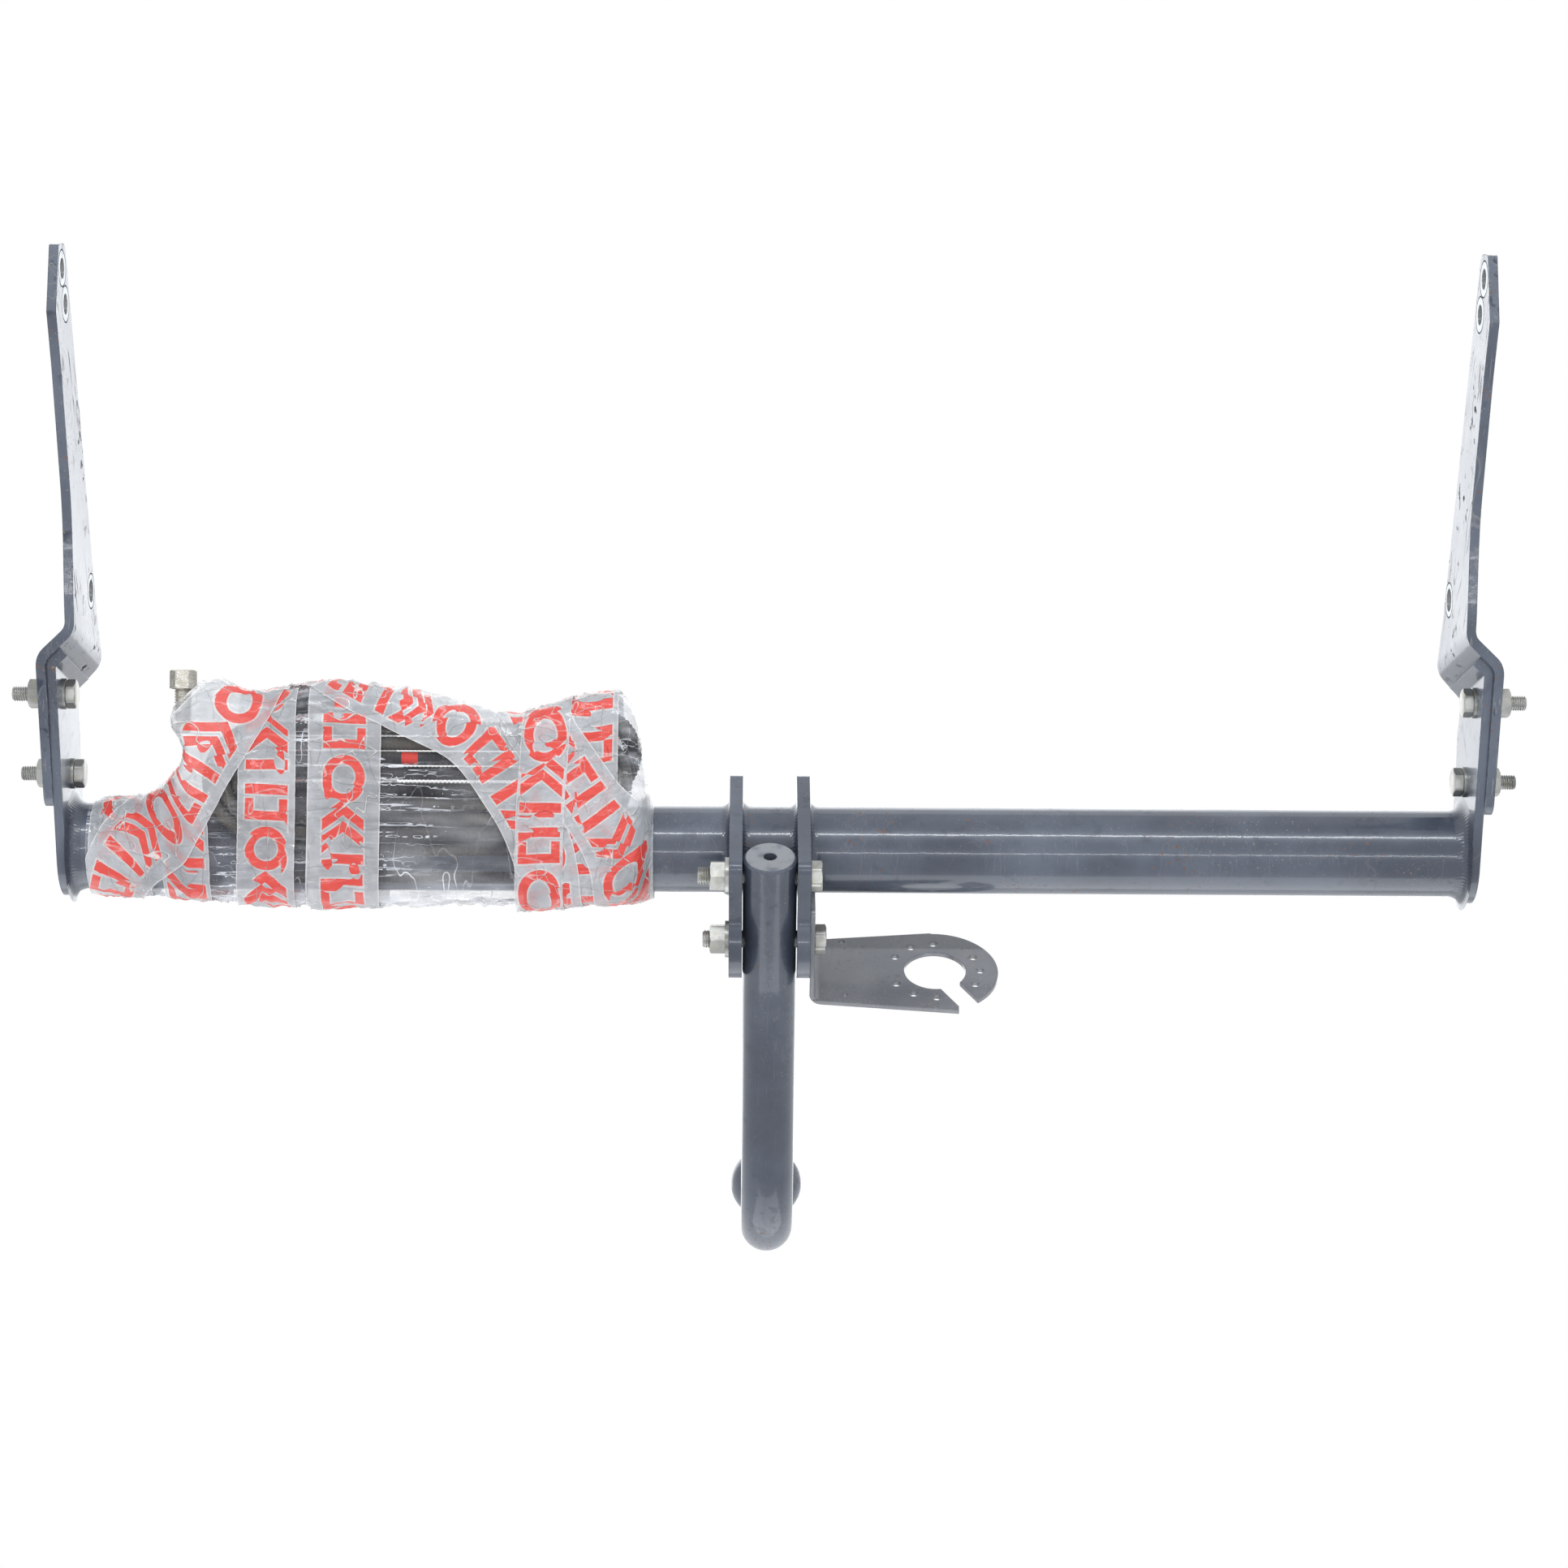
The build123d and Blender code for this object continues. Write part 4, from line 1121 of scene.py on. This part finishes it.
class TOWBAR_OT_paint(bpy.types.Operator):
    """Paints the tube, plates, arms, neck and socket bracket"""

    bl_idname = "towbar.paint"
    bl_label = "Paint steelwork"

    def execute(self, context):
        settings = context.scene.towbar_paint
        mounts = [mount for mount in frame["record"]["mounts"] if mount["name"].startswith("chassis_")]
        rings = sorted({(mount["pos_m"][1], mount["pos_m"][2]) for mount in mounts})
        plates = [f"{plate}_{side}" for plate in ("end_plate", "clamp_plate") for side in ("left", "right")]
        arms = paint_material("paint_arms", settings, rings, marks=1.0)
        neck = paint_material("paint_neck", settings, end_face=front_face(nodes["swan_neck"]))
        bracket = paint_material(
            "paint_bracket", settings, haze=settings.film_dust, least_haze=0.55, most_haze=1.0, marks=0.6)
        dress(["cross_tube", *plates], paint_material("paint", settings))
        dress(["chassis_arm_left", "chassis_arm_right"], arms)
        dress(["swan_neck"], neck)
        dress(["socket_bracket"], bracket)
        return {"FINISHED"}


def front_face(node):
    """The way and the distance of the flat face at a node's end to the front of the vehicle."""
    depth = 6 * mm
    end = max(vertex.co.y for vertex in node.data.vertices) - depth
    faces = (face for face in node.data.polygons if face.center.y > end and face.normal.y > 0.9)
    face = max(faces, key=lambda face: face.area)
    return tuple(face.normal), face.normal.dot(face.center)


class TOWBAR_OT_fasteners(bpy.types.Operator):
    """Makes the threaded screws and plates the nuts and washers"""

    bl_idname = "towbar.fasteners"
    bl_label = "Screws, nuts and washers"

    def execute(self, context):
        settings = context.scene.towbar_fasteners
        zinc = zinc_material("zinc", settings.zinc, 0.36, 0.00004)
        flake = zinc_material("zinc_flake", settings.flake, 0.45, 0.0012)
        dress([name for name in nodes if "washer" in name or "nut" in name], zinc)
        # Across flats, head height, diameter, pitch and shank
        sizes = {
            "arm": (17.0 * mm, 6.4 * mm, settings.small_d, settings.small_pitch, 35.0 * mm),
            "neck": (18.0 * mm, 7.5 * mm, settings.large_d, settings.large_pitch, 73.0 * mm),
            "spare": (16.0 * mm, 12.5 * mm, settings.spare_d, settings.large_pitch, 28.9 * mm),
        }
        for name in ("arm_bolts_left", "arm_bolts_right", "neck_bolt_front", "neck_bolt_rear"):
            size = sizes[name.split("_")[0]]
            across, head_height = size[:2]
            low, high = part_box(name)
            way = 1 if name == "arm_bolts_left" else -1
            under_x = high.x - head_height if way > 0 else low.x + head_height
            reach = 1.27 * across
            places = [(under_x, *centre) for centre in bolt_centres(nodes[name], reach)]
            screws_on(name.replace("bolt", "screw"), places, (way, 0, 0), *size, zinc, name)
        under_head = spare_head_place(sizes["spare"][1])
        screws_on("kit_spare_screw", [under_head], kit_up, *sizes["spare"], flake, "kit_spare_bolt")
        return {"FINISHED"}


def middle(values):
    """The number halfway between the least and the greatest."""
    return (min(values) + max(values)) / 2


def bolt_centres(node, reach):
    """Y and Z of the separate screws of a node. Reach is more than a head is wide over its corners."""
    clusters = []
    for vertex in node.data.vertices:
        corner = vertex.co.yz
        for cluster in clusters:
            if (corner - cluster[0]).length < reach:
                cluster.append(corner)
                break
        else:
            clusters.append([corner])
    return [(middle([corner.x for corner in cluster]), middle([corner.y for corner in cluster]))
            for cluster in clusters]


def spare_head_place(head_height):
    corners = [vertex.co for vertex in nodes["kit_spare_bolt"].data.vertices]
    top = max(corner.dot(kit_up) for corner in corners)
    front = middle([corner.dot(kit_front) for corner in corners])
    side = Vector((middle([corner.x for corner in corners]), 0, 0))
    return side + kit_up * (top - head_height) + kit_front * front


class TOWBAR_OT_welds(bpy.types.Operator):
    """Makes the rippled weld beads round the tube"""

    bl_idname = "towbar.welds"
    bl_label = "Weld beads"

    def execute(self, context):
        settings = context.scene.towbar_welds
        values = {"Root": tube_r, "Ripples": settings.ripples, "Ripple": settings.ripple,
                  "Material": paint_material("paint_welds", context.scene.towbar_paint, most_haze=0.35)}
        # Each bead's toe and the way that it faces, its leg and its CAD node
        beads = {}
        for side, way in (("right", -1.0), ("left", 1.0)):
            low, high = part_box(f"end_weld_{side}")
            toe = high.x if way < 0 else low.x
            beads[f"end_bead_{side}"] = ([(toe, way)], high.x - low.x, f"end_weld_{side}")
        inner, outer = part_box("clamp_plate_right")
        toes = [(outer.x, 1.0), (inner.x, -1.0), (-outer.x, -1.0), (-inner.x, 1.0)]
        beads["clamp_beads"] = (toes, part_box("clamp_welds")[1].x - outer.x, "clamp_welds")
        tree = weld_tree()
        for name, (toes, leg, replaced) in beads.items():
            joined = bmesh.new()
            for toe, way in toes:
                source = linked("source", bpy.data.meshes.new("source"))
                mesh = baked(source, tree, {**values, "Leg": leg, "Toe": toe, "Way": way})
                point_outwards(mesh, tube_centre)
                joined.from_mesh(mesh)
            joined.to_mesh(mesh)
            joined.free()
            mesh.shade_smooth()
            placed(name, mesh, replaced)
        return {"FINISHED"}


class TOWBAR_OT_loom(bpy.types.Operator):
    """Makes the corrugated loom's hank"""

    bl_idname = "towbar.loom"
    bl_label = "Wiring loom"

    def execute(self, context):
        settings = context.scene.towbar_wrap
        curve = bpy.data.curves.new("loom", "CURVE")
        curve.dimensions = "3D"
        for points, size in ((loom_points(), 1.0), (tail_points(), tail_share), (loose_points(), 1.0)):
            line = curve.splines.new("POLY")
            line.points.add(len(points) - 1)
            for point, place in zip(line.points, points):
                point.co = (*place, 1.0)
                point.radius = size
        mesh = baked(linked("loom", curve), conduit_tree(), {
            "Radius": loom_d * mm / 2, "Pitch": settings.rib_pitch, "Depth": settings.rib_depth,
            "Material": conduit_material(settings)})
        mesh.shade_smooth()
        placed("kit_conduit", mesh, "kit_loom")
        return {"FINISHED"}


class TOWBAR_OT_wrap(bpy.types.Operator):
    bl_idname = "towbar.wrap"
    bl_label = "Film and tape"

    def execute(self, context):
        settings = context.scene.towbar_wrap
        wrap = Wrap()
        film = soft_piece("kit_stretch_film", film_mesh(wrap), film_material(settings), "kit_film")
        tape = tape_material(settings)
        for node, strips in tape_strips.items():
            name = f"{node}_strips"
            soft_piece(name, tape_mesh(name, wrap, strips), tape, node)
        return {"FINISHED"}


def soft_piece(name, mesh, material, replaced):
    mesh.shade_smooth()
    mesh.materials.append(material)
    point_outwards(mesh, kit_point(0.0, 30.0, 0.0))
    return placed(name, mesh, replaced)


def set_up(name, data, place, right, up, back):
    """Adds a lamp or a camera at a place, with its axes."""
    piece = linked(name, data)
    piece.matrix_world = Matrix.Translation(place) @ Matrix((right, up, back)).transposed().to_4x4()
    return piece


def lamp(name, from_tube, size, power, reflected=True):
    """A rectangular lamp that faces the tube. The camera doesn't see it, and reflections only if wanted."""
    light = bpy.data.lights.new(name, "AREA")
    light.shape = "RECTANGLE"
    light.size, light.size_y = size
    light.energy = power
    back = from_tube.normalized()
    up = back.cross(Vector((1, 0, 0))).normalized()
    piece = set_up(name, light, tube_centre + from_tube, up.cross(back), up, back)
    piece.visible_camera = False
    piece.visible_glossy = reflected


def photo_camera(settings):
    """Adds the photograph's camera. Returns the way to it from the tube and the way up in its picture."""
    tilt_cos, tilt_sin = cos(settings.camera_tilt), sin(settings.camera_tilt)
    level = Matrix(((-1, 0, 0), (0, -tilt_cos, -tilt_sin), (0, -tilt_sin, tilt_cos)))
    yaw = Matrix.Rotation(-settings.camera_yaw, 3, "Y")
    axes = Matrix.Rotation(settings.camera_roll, 3, "Z") @ yaw @ level
    right, down, away = axes
    data = bpy.data.cameras.new("camera")
    data.sensor_width = 36.0
    data.sensor_fit = "HORIZONTAL"
    data.angle = settings.camera_angle
    data.clip_start = 0.05
    data.clip_end = 50.0
    eye = tube_centre - axes.transposed() @ Vector(settings.camera_place)
    bpy.context.scene.camera = set_up("camera", data, eye, right, -down, -away)
    return -away, -down


def studio_world():
    """White where it's seen, straight or in a reflection, and dimmer as a light."""
    world = bpy.data.worlds.new("studio")
    world.use_nodes = True
    tree = Tree(world.node_tree)
    shown = tree.most(tree.ray("Camera"), tree.ray("Glossy"), tree.ray("Transmission"))
    back = world.node_tree.nodes["Background"]
    tree.fill(back, {"Color": (1, 1, 1, 1), "Strength": tree.blend(shown, 0.55, 1.0)})
    bpy.context.scene.world = world


def studio_floor(settings):
    """A pale floor under the towbar, which is seen only straight and from above."""
    material, tree, shader = new_material("floor")
    mottled = tree.noise(tree.place(), 3.0)
    colour = tree.layers(shade(settings.floor), (mottled, shade(settings.floor, 0.97)))
    tree.fill(shader, {"Base Color": colour, "Roughness": 0.8})
    unseen = tree.most(tree.add("ShaderNodeNewGeometry", output="Backfacing"), tree.ray("Shadow"),
                       tree.ray("Glossy"), tree.ray("Transmission"))
    mixed = tree.add("ShaderNodeMixShader", {
        0: unseen, 1: Value(tree, shader.outputs[0]), 2: tree.add("ShaderNodeBsdfTransparent")})
    tree.fill(material.node_tree.nodes["Material Output"], {"Surface": mixed})
    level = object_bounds()[0].z
    half = 25.0
    corners = [(x * half, y * half, level) for x, y in ((-1, -1), (1, -1), (1, 1), (-1, 1))]
    mesh = bpy.data.meshes.new("floor")
    mesh.from_pydata(corners, [], [(0, 1, 2, 3)])
    mesh.materials.append(material)
    linked("floor", mesh)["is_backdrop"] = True


class TOWBAR_OT_stage(bpy.types.Operator):
    """Sets the camera, the lamps, the floor and the background"""

    bl_idname = "towbar.stage"
    bl_label = "Studio"

    def execute(self, context):
        settings = context.scene.towbar_stage
        to_camera, above = photo_camera(settings)
        # Angle over the camera's, distance, size, power and whether reflections show it
        for name, degrees, distance, size, power, reflected in (
            ("strip_high", 42.5, 2.2, (3.0, 0.08), 24.0, True),
            ("strip_low", -7.0, 2.3, (3.0, 0.05), 9.0, True),
            ("fill", 12.0, 3.2, (3.0, 2.2), 26.0, False),
            ("rear_side", -94.0, 2.4, (3.2, 2.2), 34.0, True),
        ):
            way = to_camera * cos(radians(degrees)) + above * sin(radians(degrees))
            lamp(name, way * distance, size, power, reflected)
        lamp("overhead", Vector((0.3, -0.8, 2.2)), (3.0, 2.4), 27.0)
        studio_world()
        studio_floor(settings)
        context.scene.view_settings.view_transform = "Standard"
        return {"FINISHED"}


class TOWBAR_PT_panel(bpy.types.Panel):
    """Lists the towbar's pieces and settings"""

    bl_idname = "TOWBAR_PT_panel"
    bl_label = "Towbar"
    bl_space_type = "VIEW_3D"
    bl_region_type = "UI"
    bl_category = "Towbar"

    def draw(self, context):
        for operator in operators:
            self.layout.operator(operator.bl_idname)
        for name, settings in groups.items():
            box = self.layout.box()
            for field in settings.__annotations__:
                box.prop(getattr(context.scene, name), field)


groups = {
    "towbar_paint": PaintSettings,
    "towbar_fasteners": FastenerSettings,
    "towbar_welds": WeldSettings,
    "towbar_wrap": WrapSettings,
    "towbar_stage": StageSettings,
}
operators = (
    TOWBAR_OT_paint,
    TOWBAR_OT_fasteners,
    TOWBAR_OT_welds,
    TOWBAR_OT_loom,
    TOWBAR_OT_wrap,
    TOWBAR_OT_stage,
)


def register():
    for kind in (*groups.values(), *operators, TOWBAR_PT_panel):
        bpy.utils.register_class(kind)
    for name, settings in groups.items():
        setattr(bpy.types.Scene, name, bpy.props.PointerProperty(type=settings))


def unregister():
    for name in groups:
        delattr(bpy.types.Scene, name)
    for kind in (TOWBAR_PT_panel, *reversed(operators), *groups.values()):
        bpy.utils.unregister_class(kind)


def main():
    register()
    bpy.ops.towbar.paint()
    bpy.ops.towbar.fasteners()
    bpy.ops.towbar.welds()
    bpy.ops.towbar.loom()
    bpy.ops.towbar.wrap()
    bpy.ops.towbar.stage()


if __name__ == "__main__":
    main()
